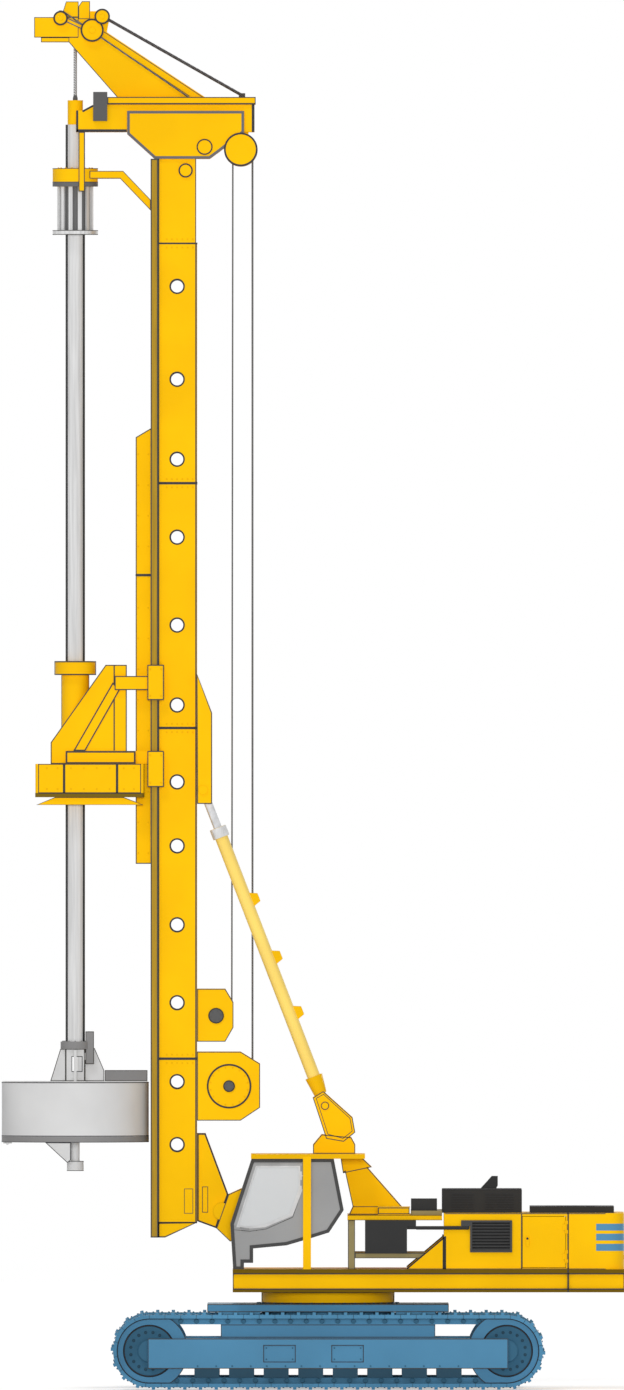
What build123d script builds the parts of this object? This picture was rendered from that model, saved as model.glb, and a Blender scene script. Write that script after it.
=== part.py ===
from build123d import *
import math
import os

# Millimetres, +Z up. The origin lies on the ground, on the slewing axis.
# The machine faces -X, and its cab stands on the -Y side.

# Crawler tracks
WHEEL_X = 2500
LUG_TIP_RADIUS = 540
LUG_HEIGHT = 34
LUG_LENGTH = 46
SHOE_THICKNESS = 50
SHOE_WIDTH = 700
SHOE_COUNT = 60
CHAIN_INNER_RADIUS = 372
CHAIN_WIDTH = 200
TRACK_Y = 1600
SEAT = 0.3
WHEEL_HUB_RADIUS = 150
WHEEL_WEB_RADIUS = 300
WHEEL_WEB_WIDTH = 90
WHEEL_Z = LUG_TIP_RADIUS
SHOE_RADIUS = LUG_TIP_RADIUS - LUG_HEIGHT
ROLLER_COUNT = 8
ROLLER_PITCH = 484
ROLLER_RADIUS = 118
ROLLER_BRACKET_LENGTH = 350
CHAIN_TOP_OF_LOWER_RUN = LUG_TIP_RADIUS - CHAIN_INNER_RADIUS
CHAIN_UNDER_UPPER_RUN = LUG_TIP_RADIUS + CHAIN_INNER_RADIUS

# Track side frames
FRAME_END_X = 2520
FRAME_BOTTOM = 294
FRAME_TOP = 714
FRAME_WIDTH = 500
FRAME_WALL = 60
FRAME_ROOF = 40
SLIDE_BEAM_X = 1500
SLIDE_BEAM_WIDTH = 200
HATCH_DEPTH = 12
HATCH_Z = (392, 616)
HATCHES_X = ((-896, -462), (56, 490))

# Carbody and slewing ring
DECK_X = 1690
DECK_BOTTOM = LUG_TIP_RADIUS * 2
DECK_TOP = 1190
CARBODY_HALF_WIDTH = TRACK_Y - SHOE_WIDTH / 2 - 15
BEAM_OUTER_X = 1500
BEAM_INNER_X = 950
BEAM_BOTTOM = 560
BEAM_WALL = 40
RING_RADIUS = 924
RING_BORE_RADIUS = 760
RING_RUNNING_GAP = 5
SPIGOT_BORE_RADIUS = 640
TOW_LUG_REACH = 150
TOW_LUG_THICKNESS = 60
TOW_LUG_Z = 630
TOW_PIN_RADIUS = 32
TOW_LUG_RADIUS = 80

# Upper frame
UPPER_FRONT_X = -1330
UPPER_REAR_X = 4144
UPPER_BOTTOM = 1358
UPPER_TOP = 1680
UPPER_HALF_WIDTH = 1500
FLANGE_BOTTOM_TOP = 1400
FLANGE_TOP_BOTTOM = 1624
FLANGE_REACH = 30
DECK_PLATE = 40
FRAME_WEB = 40
MAIN_WEB_Y = 580
COUNTERWEIGHT_X = 3360
RIB_X = (-1010, 0, 1010, 2100, COUNTERWEIGHT_X)

# Engine house, counterweight and what stands on them
BODY_TOP = 2464
BODY_HALF_WIDTH = 1450
HOUSE_X = 1624
HOUSE_DOOR_X = 2716
HOUSE_WALL = 30
DOOR_GAP = 7
HOUSE_DOOR_SILL = 1700
HOUSE_DOOR_LINTEL = 2424
HOUSE_HINGE_RADIUS = 13
HOUSE_HINGE = (3328, -BODY_HALF_WIDTH - HOUSE_HINGE_RADIUS - 1)
HOUSE_HINGES_Z = (1860, 2270)
WEIGHT_CORNER_RADIUS = 260
GRILLE_X = (1988, 2576)
GRILLE_Z = (1918, 2366)
GRILLE_NOSE_X = 1862
GRILLE_NOSE_Z = 2282
GRILLE_PROUD = 40
VALVE_PIPE_Z = 2260
VALVE_PIPE_RADIUS = 21
SLAT_COUNT = 9
GUSSET_X = 1106
GUSSET_TOP = 2114
ENGINE_X = (2150, 3050)
ENGINE_Y = (-330, 330)
ENGINE_TOP = 2250

# Platform and gantry
PLATFORM_X = (273, 1596)
PLATFORM_Z = (2366, 2436)
POST_X = (280, 378)
SILL_Z = (2436, 2499)
TOOL_TRAY_X = (700, 1141)
TOOL_TRAY_TOP = 2552
RAIL_Z = (1834, 1908)
GUARD_X = (-1078, 518)
GUARD_Z = (3227, 3290)
GUARD_Y = (-1500, 520)
GANTRY_POST_X = (-350, -238)
GANTRY_Y = (330, 450)

# Cab
CAB_Y = (-1440, -490)
CAB_WALL = 45
CAB_HINGE = (-359, -1448)
CAB_HINGE_RADIUS = 7
CAB_HINGES_Z = (2890, 3090)
WINDOW_GAP = 0.4

# Mast pivot and backstay pins
PIVOT_X = -1484
PIVOT_Z = 2478
PIVOT_EYE_RADIUS = 120
PIVOT_PIN_RADIUS = 60
PIN_CLEARANCE = 1
FOOT_BRACKET_Y = (170, 240)
FOOT_ARM_Y = (250, 330)
STAY_Y = 350
STAY_FOOT_X = -42
STAY_FOOT_Z = 3962
STAY_HEAD_X = -1750
STAY_HEAD_Z = 8386
STAY_PIN_RADIUS = 56
BARREL_RADIUS = 91
BARREL_BORE_RADIUS = 62
BARREL_START = 330
BARREL_END = 4029
COLLAR = (180, 435)
COLLAR_RADII = (88, 122)
GLAND_LENGTH = 145
GLAND_RADIUS = 117
GLAND_CLEARANCE = 0.5
ROD_RADIUS = 57.5
ROD_INNER_END = 3250
EYE_WIDTH = 80
HEAD_EYE_RADIUS = 75
HEAD_BOSS_RADIUS = 62
HEAD_BOSS_GAP = 5
HEAD_PLATE_CLEARANCE = 8
FOOT_EYE_RADIUS = 112
CLEVIS_PLATE = 30
PORT_PLACES = (1364, 2196, 3064)

# Mast
MAST_FRONT_X = -2380
MAST_REAR_X = -1834
MAST_TOP_REAR_X = -1848
MAST_HALF_WIDTH = 300
MAST_WALL = 20
MAST_SEAMS_Z = (2324, 4620, 9254, 12684, 16044, 17605)
MAST_HOLE_X = -2114
MAST_HOLE_RADIUS = 97
MAST_HOLES_Z = (15442, 14140, 13020, 11928, 10696, 9576, 8498, 7602, 6496, 5404, 4298, 3416)
TOP_BOSS = (-1995, 17066)
TOP_BOSS_Y = 330
MAST_FOOT_Z = 2114
RAIL_FRONT_X = -2485
RAIL_Y = (200, 390)
CHEEK_BOTTOM = 17230
CASING_FRONT_X = -2695
CASING_HALF_WIDTH = 130
CASING_Z = (7350, 13454)
CASING_SEAM_Z = 11396
CASING_WALL = 14

# Sledge and rotary drive
KELLY_X = -3542
KELLY_RADIUS = 136.5
KELLY_BORE_RADIUS = 65
KELLY_RIB_RADIUS = 142
KELLY_RIB_WIDTH = 44
KELLY_RIB_TURNS = (90, 210, 330)
DRIVE_BORE_RADIUS = 144.5
GEARBOX_TOP = 8750
CLAMP_GAP = 0.5
MAST_SIDE_GAP = 6
CLAMP_WALL = 44

# Kelly bar and tool
KELLY_TOP = 17710
KELLY_BOTTOM = 4859
TOOL_RADIUS = 1030
BUCKET_TOP = 4294
BUCKET_FLOOR_TOP = 3531
BUCKET_BOTTOM = 3450
BUCKET_WALL = 30
FLOOR_HINGE_OFFSET = 950
FLOOR_GAP = 6
FLOOR_SEAT = 0.5
FLOOR_HINGE_RADIUS = 19
FLOOR_HINGE_DROP = 20


def block(x, y, z):
    """A box from three pairs of limits."""
    size = [abs(pair[1] - pair[0]) for pair in (x, y, z)]
    middle = [(pair[0] + pair[1]) / 2 for pair in (x, y, z)]
    return Pos(*middle) * Box(*size)


def side_plate(points, y):
    """A closed outline of the side view, as thick as the two limits in Y."""
    line = Polyline(*[(x, y[0], z) for x, z in points], close=True)
    return extrude(make_face(line), amount=y[1] - y[0], dir=(0, 1, 0))


def rod(start, end, radius):
    """A round bar between two points."""
    start, end = Vector(*start), Vector(*end)
    plane = Plane(origin=start, z_dir=end - start)
    return plane * Pos(0, 0, (end - start).length / 2) * Cylinder(radius, (end - start).length)


def cross_bar(x, z, radius, y):
    """A round bar across the machine."""
    return rod((x, y[0], z), (x, y[1], z), radius)


def upright(x, y, radius, z):
    """A round bar or disc that stands on end."""
    return rod((x, y, z[0]), (x, y, z[1]), radius)


def on_both_sides(shape):
    """The shape and its mirror image across the machine's middle plane."""
    return [shape, mirror(shape, about=Plane.XZ)]


def write(name, *solids):
    """One node, from one or more solids that don't touch."""
    found = []
    for solid in solids:
        found += list(solid.solids())
    export_step(Compound(children=found), "parts/" + name + ".step")


def door_hinges(axis, leaf_x, face_y, radius, heights, moving):
    """Hinge knuckles on an upright axis, with leaves to the panel or to the wall beside it."""
    x, y = axis
    found = []
    for height in heights:
        spans = [(height - 40, height + 40)]
        if not moving:
            spans = [(height - 90, height - 40 - SEAT), (height + 40 + SEAT, height + 90)]
        for span in spans:
            knuckle = upright(x, y, radius, span)
            found.append(knuckle + block(sorted((x, leaf_x)), sorted((y, face_y)), span))
    return found


def stadium(radius):
    """The slot round both wheel centres, in the plane of the side view."""
    return SlotCenterToCenter(2 * WHEEL_X, 2 * radius)


def loop_place(share, radius):
    """The point and the turn at a share of the way round a stadium."""
    straight, bend = 2 * WHEEL_X, math.pi * radius
    way = share * (2 * straight + 2 * bend)
    if way < straight:
        return (-WHEEL_X + way, radius, 0)
    way -= straight
    if way < bend:
        turn = way / radius
        return (WHEEL_X + radius * math.sin(turn), radius * math.cos(turn), -math.degrees(turn))
    way -= bend
    if way < straight:
        return (WHEEL_X - way, -radius, 180)
    turn = (way - straight) / radius
    return (-WHEEL_X - radius * math.sin(turn), -radius * math.cos(turn), 180 - math.degrees(turn))


def track():
    """One closed track: shoes with lugs outside, the chain's links inside."""
    plate = stadium(SHOE_RADIUS) - stadium(SHOE_RADIUS - SHOE_THICKNESS)
    for index in range(SHOE_COUNT):
        x, z, turn = loop_place((index + 0.5) / SHOE_COUNT, SHOE_RADIUS)
        lug = Rectangle(LUG_LENGTH, 2 * LUG_HEIGHT)
        plate += Pos(x, z) * Rot(0, 0, turn) * lug
    chain = stadium(SHOE_RADIUS - SHOE_THICKNESS) - stadium(CHAIN_INNER_RADIUS)
    shoes = extrude(Plane.XZ * plate, amount=SHOE_WIDTH / 2, both=True)
    links = extrude(Plane.XZ * chain, amount=CHAIN_WIDTH / 2, both=True)
    return Pos(0, TRACK_Y, WHEEL_Z) * (shoes + links)


def wheel(x):
    """A sprocket or idler with its hub, between the fork plates of its frame."""
    rim = cross_bar(x, WHEEL_Z, CHAIN_INNER_RADIUS - SEAT,
                    (TRACK_Y - CHAIN_WIDTH / 2 + 10, TRACK_Y + CHAIN_WIDTH / 2 - 10))
    for sign in (-1, 1):
        face = TRACK_Y + sign * WHEEL_WEB_WIDTH / 2
        rim -= cross_bar(x, WHEEL_Z, WHEEL_WEB_RADIUS, (face, face + sign * CHAIN_WIDTH))
    half = FRAME_WIDTH / 2 - FRAME_WALL
    return rim + cross_bar(x, WHEEL_Z, WHEEL_HUB_RADIUS, (TRACK_Y - half, TRACK_Y + half))


def track_roller(x):
    """A roller between its two brackets, which bolt up under the side frame."""
    z = CHAIN_TOP_OF_LOWER_RUN + ROLLER_RADIUS + SEAT
    half = FRAME_WIDTH / 2 - FRAME_WALL
    solid = cross_bar(x, z, ROLLER_RADIUS, (TRACK_Y - CHAIN_WIDTH / 2, TRACK_Y + CHAIN_WIDTH / 2))
    core = ROLLER_RADIUS * 0.4
    solid += block((x - core, x + core), (TRACK_Y - half, TRACK_Y + half), (z - core, z + core))
    for sign in (-1, 1):
        face = TRACK_Y + sign * half
        reach = (face, face + sign * FRAME_WALL)
        ends = (x - ROLLER_BRACKET_LENGTH / 2, x + ROLLER_BRACKET_LENGTH / 2)
        solid += block(ends, sorted(reach), (CHAIN_TOP_OF_LOWER_RUN + 2, FRAME_BOTTOM))
        solid += block((x - ROLLER_RADIUS / 2, x + ROLLER_RADIUS / 2), sorted((face - sign * 12, face)),
                       (CHAIN_TOP_OF_LOWER_RUN + 2, z + ROLLER_RADIUS * 0.4))
    return solid


def track_frame():
    """The side frame: a roof plate and two side plates that end in forks."""
    y = (TRACK_Y - FRAME_WIDTH / 2, TRACK_Y + FRAME_WIDTH / 2)
    solid = block((-FRAME_END_X, FRAME_END_X), y, (FRAME_BOTTOM, FRAME_TOP))
    inner = (y[0] + FRAME_WALL, y[1] - FRAME_WALL)
    solid -= block((-FRAME_END_X, FRAME_END_X), inner, (FRAME_BOTTOM, FRAME_TOP - FRAME_ROOF))
    fork_x = WHEEL_X - LUG_TIP_RADIUS + 60
    for sign in (-1, 1):
        ends = sorted((sign * fork_x, sign * FRAME_END_X))
        solid -= block(ends, inner, (FRAME_TOP - FRAME_ROOF, FRAME_TOP))
    for ends in HATCHES_X:
        solid -= block(ends, (y[1] - HATCH_DEPTH, y[1]), HATCH_Z)
    return solid


def slide_beam():
    """The beam on the side frame that carries the upper run of the chain."""
    y = (TRACK_Y - SLIDE_BEAM_WIDTH / 2, TRACK_Y + SLIDE_BEAM_WIDTH / 2)
    return block((-SLIDE_BEAM_X, SLIDE_BEAM_X), y, (FRAME_TOP + SEAT, CHAIN_UNDER_UPPER_RUN - SEAT))


def carbody():
    """Deck, two box beams that carry the side frames, ring column and tow lugs."""
    half = CARBODY_HALF_WIDTH
    reach = TRACK_Y - FRAME_WIDTH / 2
    solid = block((-DECK_X, DECK_X), (-half, half), (DECK_BOTTOM, DECK_TOP))
    for sign in (-1, 1):
        ends = sorted((sign * BEAM_INNER_X, sign * BEAM_OUTER_X))
        beam = block(ends, (-half, half), (BEAM_BOTTOM, DECK_BOTTOM))
        beam += block(ends, (-reach, reach), (BEAM_BOTTOM, CHAIN_UNDER_UPPER_RUN - 12))
        hollow = (ends[0] + BEAM_WALL, ends[1] - BEAM_WALL)
        beam -= block(hollow, (-half + BEAM_WALL, half - BEAM_WALL), (BEAM_BOTTOM, DECK_BOTTOM))
        solid += beam
        tip = sign * (BEAM_OUTER_X + TOW_LUG_REACH)
        lug_y = (-TOW_LUG_THICKNESS / 2, TOW_LUG_THICKNESS / 2)
        lug = block(sorted((sign * BEAM_OUTER_X, tip)), lug_y,
                    (TOW_LUG_Z - TOW_LUG_RADIUS, TOW_LUG_Z + TOW_LUG_RADIUS))
        lug += cross_bar(tip, TOW_LUG_Z, TOW_LUG_RADIUS, lug_y)
        solid += lug - cross_bar(tip, TOW_LUG_Z, TOW_PIN_RADIUS, lug_y)
    column = upright(0, 0, RING_RADIUS, (BEAM_BOTTOM + 200, DECK_BOTTOM))
    column += upright(0, 0, RING_BORE_RADIUS - RING_RUNNING_GAP, (DECK_TOP, UPPER_BOTTOM - RING_RUNNING_GAP))
    solid += column
    return solid - upright(0, 0, SPIGOT_BORE_RADIUS, (BEAM_BOTTOM, UPPER_BOTTOM))


def slew_ring():
    """The turning ring under the upper frame."""
    z = (DECK_TOP + SEAT, UPPER_BOTTOM)
    return upright(0, 0, RING_RADIUS, z) - upright(0, 0, RING_BORE_RADIUS, z)


def upper_frame():
    """Deck plate, two side beams, two main beams and the ribs between them."""
    ends = (UPPER_FRONT_X, UPPER_REAR_X)
    wide = (-UPPER_HALF_WIDTH, UPPER_HALF_WIDTH)
    solid = block(ends, wide, (UPPER_TOP - DECK_PLATE, UPPER_TOP))
    for sign in (-1, 1):
        outer = sign * UPPER_HALF_WIDTH
        web = sorted((outer - sign * FLANGE_REACH, outer - sign * (FLANGE_REACH + FRAME_WEB)))
        flange = sorted((outer, outer - sign * 3 * FRAME_WEB))
        main = sorted((sign * MAIN_WEB_Y, sign * (MAIN_WEB_Y - FRAME_WEB)))
        solid += block(ends, web, (FLANGE_BOTTOM_TOP, UPPER_TOP - DECK_PLATE))
        solid += block(ends, flange, (UPPER_BOTTOM, FLANGE_BOTTOM_TOP))
        solid += block(ends, flange, (FLANGE_TOP_BOTTOM, UPPER_TOP - DECK_PLATE))
        solid += block(ends, main, (FLANGE_BOTTOM_TOP, UPPER_TOP - DECK_PLATE))
    solid += block((UPPER_FRONT_X, COUNTERWEIGHT_X + FRAME_WEB), (-MAIN_WEB_Y - 60, MAIN_WEB_Y + 60),
                   (UPPER_BOTTOM, FLANGE_BOTTOM_TOP))
    solid += block((-RING_RADIUS, RING_RADIUS), (-RING_RADIUS, RING_RADIUS),
                   (UPPER_BOTTOM, FLANGE_BOTTOM_TOP))
    inner = UPPER_HALF_WIDTH - FLANGE_REACH
    for x in (UPPER_FRONT_X, *RIB_X, UPPER_REAR_X - FRAME_WEB):
        solid += block((x, x + FRAME_WEB), (-inner, inner), (FLANGE_BOTTOM_TOP, UPPER_TOP - DECK_PLATE))
    for x in (UPPER_FRONT_X, UPPER_REAR_X - FRAME_WEB):
        solid += block((x, x + FRAME_WEB), (-inner, inner), (UPPER_BOTTOM, FLANGE_BOTTOM_TOP))
    return solid


def counterweight():
    """The cast block at the rear, round at its rear corners, with lifting holes."""
    solid = block((COUNTERWEIGHT_X, UPPER_REAR_X), (-BODY_HALF_WIDTH, BODY_HALF_WIDTH), (UPPER_TOP, BODY_TOP))
    corners = solid.edges().filter_by(Axis.Z).group_by(Axis.X)[-1]
    solid = fillet(corners, WEIGHT_CORNER_RADIUS)
    return solid


def house_shell():
    """The house's walls and roof, open below, at the doors and at the grilles."""
    outer = block((HOUSE_X, COUNTERWEIGHT_X), (-BODY_HALF_WIDTH, BODY_HALF_WIDTH), (UPPER_TOP, BODY_TOP))
    half = BODY_HALF_WIDTH - HOUSE_WALL
    room = block((HOUSE_X + HOUSE_WALL, COUNTERWEIGHT_X - HOUSE_WALL), (-half, half),
                 (UPPER_TOP, BODY_TOP - HOUSE_WALL))
    solid = outer - room
    through = (-BODY_HALF_WIDTH, BODY_HALF_WIDTH)
    solid -= block((HOUSE_DOOR_X, COUNTERWEIGHT_X - HOUSE_WALL), through,
                   (HOUSE_DOOR_SILL, HOUSE_DOOR_LINTEL))
    solid -= block(GRILLE_X, through, GRILLE_Z)
    for plate in on_both_sides(gusset()):
        solid += plate
    for knuckle in door_hinges(HOUSE_HINGE, COUNTERWEIGHT_X - 4, -BODY_HALF_WIDTH, HOUSE_HINGE_RADIUS,
                               HOUSE_HINGES_Z, False):
        for piece in on_both_sides(knuckle):
            solid += piece
    return solid


def house_door():
    """A side door: a pressed panel with a stiffening rim, and its two hinge barrels."""
    x = (HOUSE_DOOR_X + DOOR_GAP, COUNTERWEIGHT_X - HOUSE_WALL - DOOR_GAP)
    z = (HOUSE_DOOR_SILL + DOOR_GAP, HOUSE_DOOR_LINTEL - DOOR_GAP)
    panel = block(x, (-BODY_HALF_WIDTH, -BODY_HALF_WIDTH + HOUSE_WALL), z)
    rim = 60
    panel -= block((x[0] + rim, x[1] - rim), (-BODY_HALF_WIDTH + 8, -BODY_HALF_WIDTH + HOUSE_WALL),
                   (z[0] + rim, z[1] - rim))
    handle = block((x[0] + 50, x[0] + 90), (-BODY_HALF_WIDTH - 22, -BODY_HALF_WIDTH), (2000, 2140))
    for knuckle in door_hinges(HOUSE_HINGE, x[1] - 40, -BODY_HALF_WIDTH, HOUSE_HINGE_RADIUS, HOUSE_HINGES_Z,
                               True):
        panel += knuckle
    return panel + handle


def grille():
    """A side grille: a frame that stands proud of the house side, with sloped slats."""
    y = (-BODY_HALF_WIDTH - GRILLE_PROUD, -BODY_HALF_WIDTH + HOUSE_WALL)
    rim = 30
    solid = block(GRILLE_X, y, GRILLE_Z)
    hollow = ((GRILLE_X[0] + rim, GRILLE_X[1] - rim), y, (GRILLE_Z[0] + rim, GRILLE_Z[1] - rim))
    solid -= block(*hollow)
    solid += block(hollow[0], (y[1] - 8, y[1]), hollow[2])
    pitch = (hollow[2][1] - hollow[2][0]) / SLAT_COUNT
    for index in range(SLAT_COUNT):
        low = hollow[2][0] + index * pitch
        slat = Polyline((hollow[0][0], y[1] - 8, low + pitch * 0.8), (hollow[0][0], y[1] - 8, low + pitch),
                        (hollow[0][0], y[0] + 4, low + pitch * 0.35), (hollow[0][0], y[0] + 4,
                                                                       low + pitch * 0.15), close=True)
        solid += extrude(make_face(slat), amount=hollow[0][1] - hollow[0][0], dir=(1, 0, 0))
    nose = block((GRILLE_NOSE_X, GRILLE_X[0]), (y[0], -BODY_HALF_WIDTH - SEAT), (GRILLE_NOSE_Z, GRILLE_Z[1]))
    return solid + nose


def exhaust_box():
    """The box on the house roof, with its slanted outlet pipe."""
    box = block((HOUSE_X - 28, HOUSE_DOOR_X), (-600, 600), (BODY_TOP, 2800))
    box = chamfer(box.edges().group_by(Axis.Z)[-1], 18)
    box -= block((HOUSE_X + 2, HOUSE_DOOR_X - 30), (-570, 570), (BODY_TOP + 30, 2770))
    outlet = [(2128, 2790), (2296, 2975), (2380, 2975), (2380, 2842), (2352, 2790)]
    return box + side_plate(outlet, (-70, 70))


def roof_cooler():
    """The flat cooler on the roof, with two fan openings and their guards."""
    body = block((2828, 4004), (-900, 900), (BODY_TOP, 2555))
    for y in (-450, 450):
        body -= upright(3416, y, 380, (2500, 2555))
        body += upright(3416, y, 90, (2490, 2550))
        for turn in range(0, 180, 45):
            bar = Pos(3416, y, 2545) * Rot(0, 0, turn) * Box(764, 14, 14)
            body += bar
    return body


def gusset():
    """The slanted plates between the deck and the front wall of the house."""
    outline = [(GUSSET_X, UPPER_TOP), (HOUSE_X, GUSSET_TOP), (HOUSE_X, UPPER_TOP)]
    return side_plate(outline, (-BODY_HALF_WIDTH, -BODY_HALF_WIDTH + 40))


def platform():
    """The walkway plate between the gantry and the house, with a raised rim."""
    plate = block(PLATFORM_X, (-BODY_HALF_WIDTH, BODY_HALF_WIDTH), PLATFORM_Z)
    plate -= block((PLATFORM_X[0] + 40, PLATFORM_X[1] - 40), (-BODY_HALF_WIDTH + 40, BODY_HALF_WIDTH - 40),
                   (PLATFORM_Z[0], PLATFORM_Z[1] - 20))
    return plate + block(TOOL_TRAY_X, (-1350, -900), (PLATFORM_Z[1], TOOL_TRAY_TOP))


def control_box():
    """The dark box behind the gantry legs, on the platform's cross sill."""
    return block((1162, 1526), (-1200, -700), (SILL_Z[1], 2667))


def platform_supports():
    """Posts and rails under the platform, the posts of the gantry legs, and the sill on top."""
    found = []
    outer = (-BODY_HALF_WIDTH + 50, -BODY_HALF_WIDTH + 148)
    side = block(POST_X, outer, (UPPER_TOP, PLATFORM_Z[0]))
    side += block((POST_X[1], 1358), outer, RAIL_Z)
    side += block((1260, 1358), outer, (UPPER_TOP, RAIL_Z[1]))
    inner = block(POST_X, (GANTRY_Y[0] - 10, GANTRY_Y[1] + 10), (UPPER_TOP, PLATFORM_Z[0]))
    found += on_both_sides(side)
    found += on_both_sides(inner)
    found.append(block((1162, PLATFORM_X[1]), (-1300, 1300), SILL_Z))
    return found


def valve_block():
    """The hydraulic valve bank under the platform, with its pipe to the grille side."""
    y = (-UPPER_HALF_WIDTH, -UPPER_HALF_WIDTH + 400)
    top = PLATFORM_Z[0] - SEAT
    body = block((518, 1106), y, (RAIL_Z[1] + SEAT, top))
    body += block((1106, 1232), y, (VALVE_PIPE_Z + VALVE_PIPE_RADIUS - 5, top))
    pipe_y = y[0] + 24
    body += rod((1100, pipe_y, VALVE_PIPE_Z), (GRILLE_X[0] - 10, pipe_y, VALVE_PIPE_Z), VALVE_PIPE_RADIUS)
    return body


def gantry():
    """Roof guard plate, its posts and the two rear legs on the platform."""
    solid = block(GUARD_X, GUARD_Y, GUARD_Z)
    leg = [(175, 3234), (476, 3234), (616, 3101), (560, 3090), (1036, 2548), (1100, PLATFORM_Z[1]),
           (294, PLATFORM_Z[1]), (346, 2548), (238, 3038), (210, 3017)]
    for leg_side in on_both_sides(side_plate(leg, GANTRY_Y)):
        solid += leg_side
    for post in on_both_sides(block(GANTRY_POST_X, GANTRY_Y, (UPPER_TOP, GUARD_Z[0]))):
        solid += post
    solid += block(GANTRY_POST_X, (GUARD_Y[0], GUARD_Y[0] + 42), (UPPER_TOP, GUARD_Z[0]))
    solid += cross_bar(420, 2800, 60, (-GANTRY_Y[1], GANTRY_Y[1]))
    for z in ((2300, 2440), (2860, 3000)):
        solid += block(GANTRY_POST_X, (CAB_Y[1], -GANTRY_Y[1]), z)
    return solid


def stay_bracket():
    """The foot bracket of one backstay: a base block and two ears round the pin."""
    y = STAY_Y
    reach = EYE_WIDTH / 2 + 60
    outer = (y - reach - CLEVIS_PLATE, y + reach + CLEVIS_PLATE)
    base = side_plate([(-210, GUARD_Z[1]), (-210, 3416), (-90, 3560), (326, 3520), (382, 3416),
                       (382, GUARD_Z[1])], outer)
    ear = [(-214, 4074), (-67, 4166), (344, 3798), (382, 3588), (220, 3458), (-25, 3500)]
    solid = base
    for side in (outer[0], outer[1] - CLEVIS_PLATE):
        solid += side_plate(ear, (side, side + CLEVIS_PLATE))
    solid += cross_bar(STAY_FOOT_X, STAY_FOOT_Z, STAY_PIN_RADIUS, (outer[0] - 14, outer[1] + 14))
    return solid


def along_stay(distance, side=0):
    """A point of the side view on the backstay's line, or beside it."""
    dx, dz = STAY_HEAD_X - STAY_FOOT_X, STAY_HEAD_Z - STAY_FOOT_Z
    length = math.hypot(dx, dz)
    dx, dz = dx / length, dz / length
    return (STAY_FOOT_X + dx * distance + dz * side, STAY_FOOT_Z + dz * distance - dx * side)


def stay_bar(y, start, end, radius):
    """A round bar on the backstay's line."""
    a, b = along_stay(start), along_stay(end)
    return rod((a[0], y, a[1]), (b[0], y, b[1]), radius)


def stay_collar(y):
    """The tapered collar where the barrel meets its foot eye."""
    a, b = along_stay(COLLAR[0]), along_stay(COLLAR[1])
    start, end = Vector(a[0], y, a[1]), Vector(b[0], y, b[1])
    height = COLLAR[1] - COLLAR[0]
    return Plane(origin=start, z_dir=end - start) * Pos(0, 0, height / 2) * Cone(*COLLAR_RADII, height)


def stay_barrel(y):
    """A backstay cylinder's barrel with its foot eye, collar, gland and ports."""
    solid = stay_bar(y, BARREL_START, BARREL_END, BARREL_RADIUS)
    solid += stay_bar(y, 60, BARREL_START + 60, BARREL_RADIUS * 0.8)
    solid += stay_collar(y)
    solid += stay_bar(y, BARREL_END, BARREL_END + GLAND_LENGTH, GLAND_RADIUS)
    solid += cross_bar(STAY_FOOT_X, STAY_FOOT_Z, FOOT_EYE_RADIUS,
                       (y - EYE_WIDTH / 2 - 20, y + EYE_WIDTH / 2 + 20))
    for place in PORT_PLACES:
        corners = [along_stay(place - 95, BARREL_RADIUS - 10), along_stay(place - 60, BARREL_RADIUS + 95),
                   along_stay(place + 50, BARREL_RADIUS + 95), along_stay(place + 95, BARREL_RADIUS - 10)]
        solid += side_plate(corners, (y - 40, y + 40))
    solid -= cross_bar(STAY_FOOT_X, STAY_FOOT_Z, STAY_PIN_RADIUS + PIN_CLEARANCE, (y - 200, y + 200))
    solid -= stay_bar(y, ROD_INNER_END - 700, BARREL_END, BARREL_BORE_RADIUS)
    return solid - stay_bar(y, BARREL_END, BARREL_END + GLAND_LENGTH, ROD_RADIUS + GLAND_CLEARANCE)


def stay_rod(y):
    """A backstay cylinder's rod with its head eye."""
    length = math.hypot(STAY_HEAD_X - STAY_FOOT_X, STAY_HEAD_Z - STAY_FOOT_Z)
    solid = stay_bar(y, ROD_INNER_END, length - 20, ROD_RADIUS)
    eye = (y - EYE_WIDTH / 2, y + EYE_WIDTH / 2)
    solid += cross_bar(STAY_HEAD_X, STAY_HEAD_Z, HEAD_EYE_RADIUS, eye)
    limit = block((STAY_HEAD_X - 400, STAY_HEAD_X + 400), eye, (STAY_HEAD_Z - 400, STAY_HEAD_Z + 400))
    lower = stay_bar(y, ROD_INNER_END, length - HEAD_EYE_RADIUS - 60, ROD_RADIUS)
    solid = (solid & limit) + lower
    return solid - cross_bar(STAY_HEAD_X, STAY_HEAD_Z, 35, eye)


def foot_arm():
    """One fixed arm from the gantry post to the mast's pivot, with its pin."""
    points = [(-1565, 2244), (-1396, 2719), (-1218, 2800), (-238, 2900), (-238, 2300), (-700, 2180),
              (-1372, 2058)]
    solid = side_plate(points, FOOT_ARM_Y)
    solid += cross_bar(PIVOT_X, PIVOT_Z, PIVOT_EYE_RADIUS, FOOT_ARM_Y)
    return solid + cross_bar(PIVOT_X, PIVOT_Z, PIVOT_PIN_RADIUS, (FOOT_BRACKET_Y[0] - 10, FOOT_ARM_Y[1]))


def foot_arms():
    """Both fixed arms and the tube that ties them."""
    left, right = on_both_sides(foot_arm())
    return left + right + cross_bar(-900, 2500, 90, (-FOOT_ARM_Y[1] + 20, FOOT_ARM_Y[1] - 20))


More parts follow.
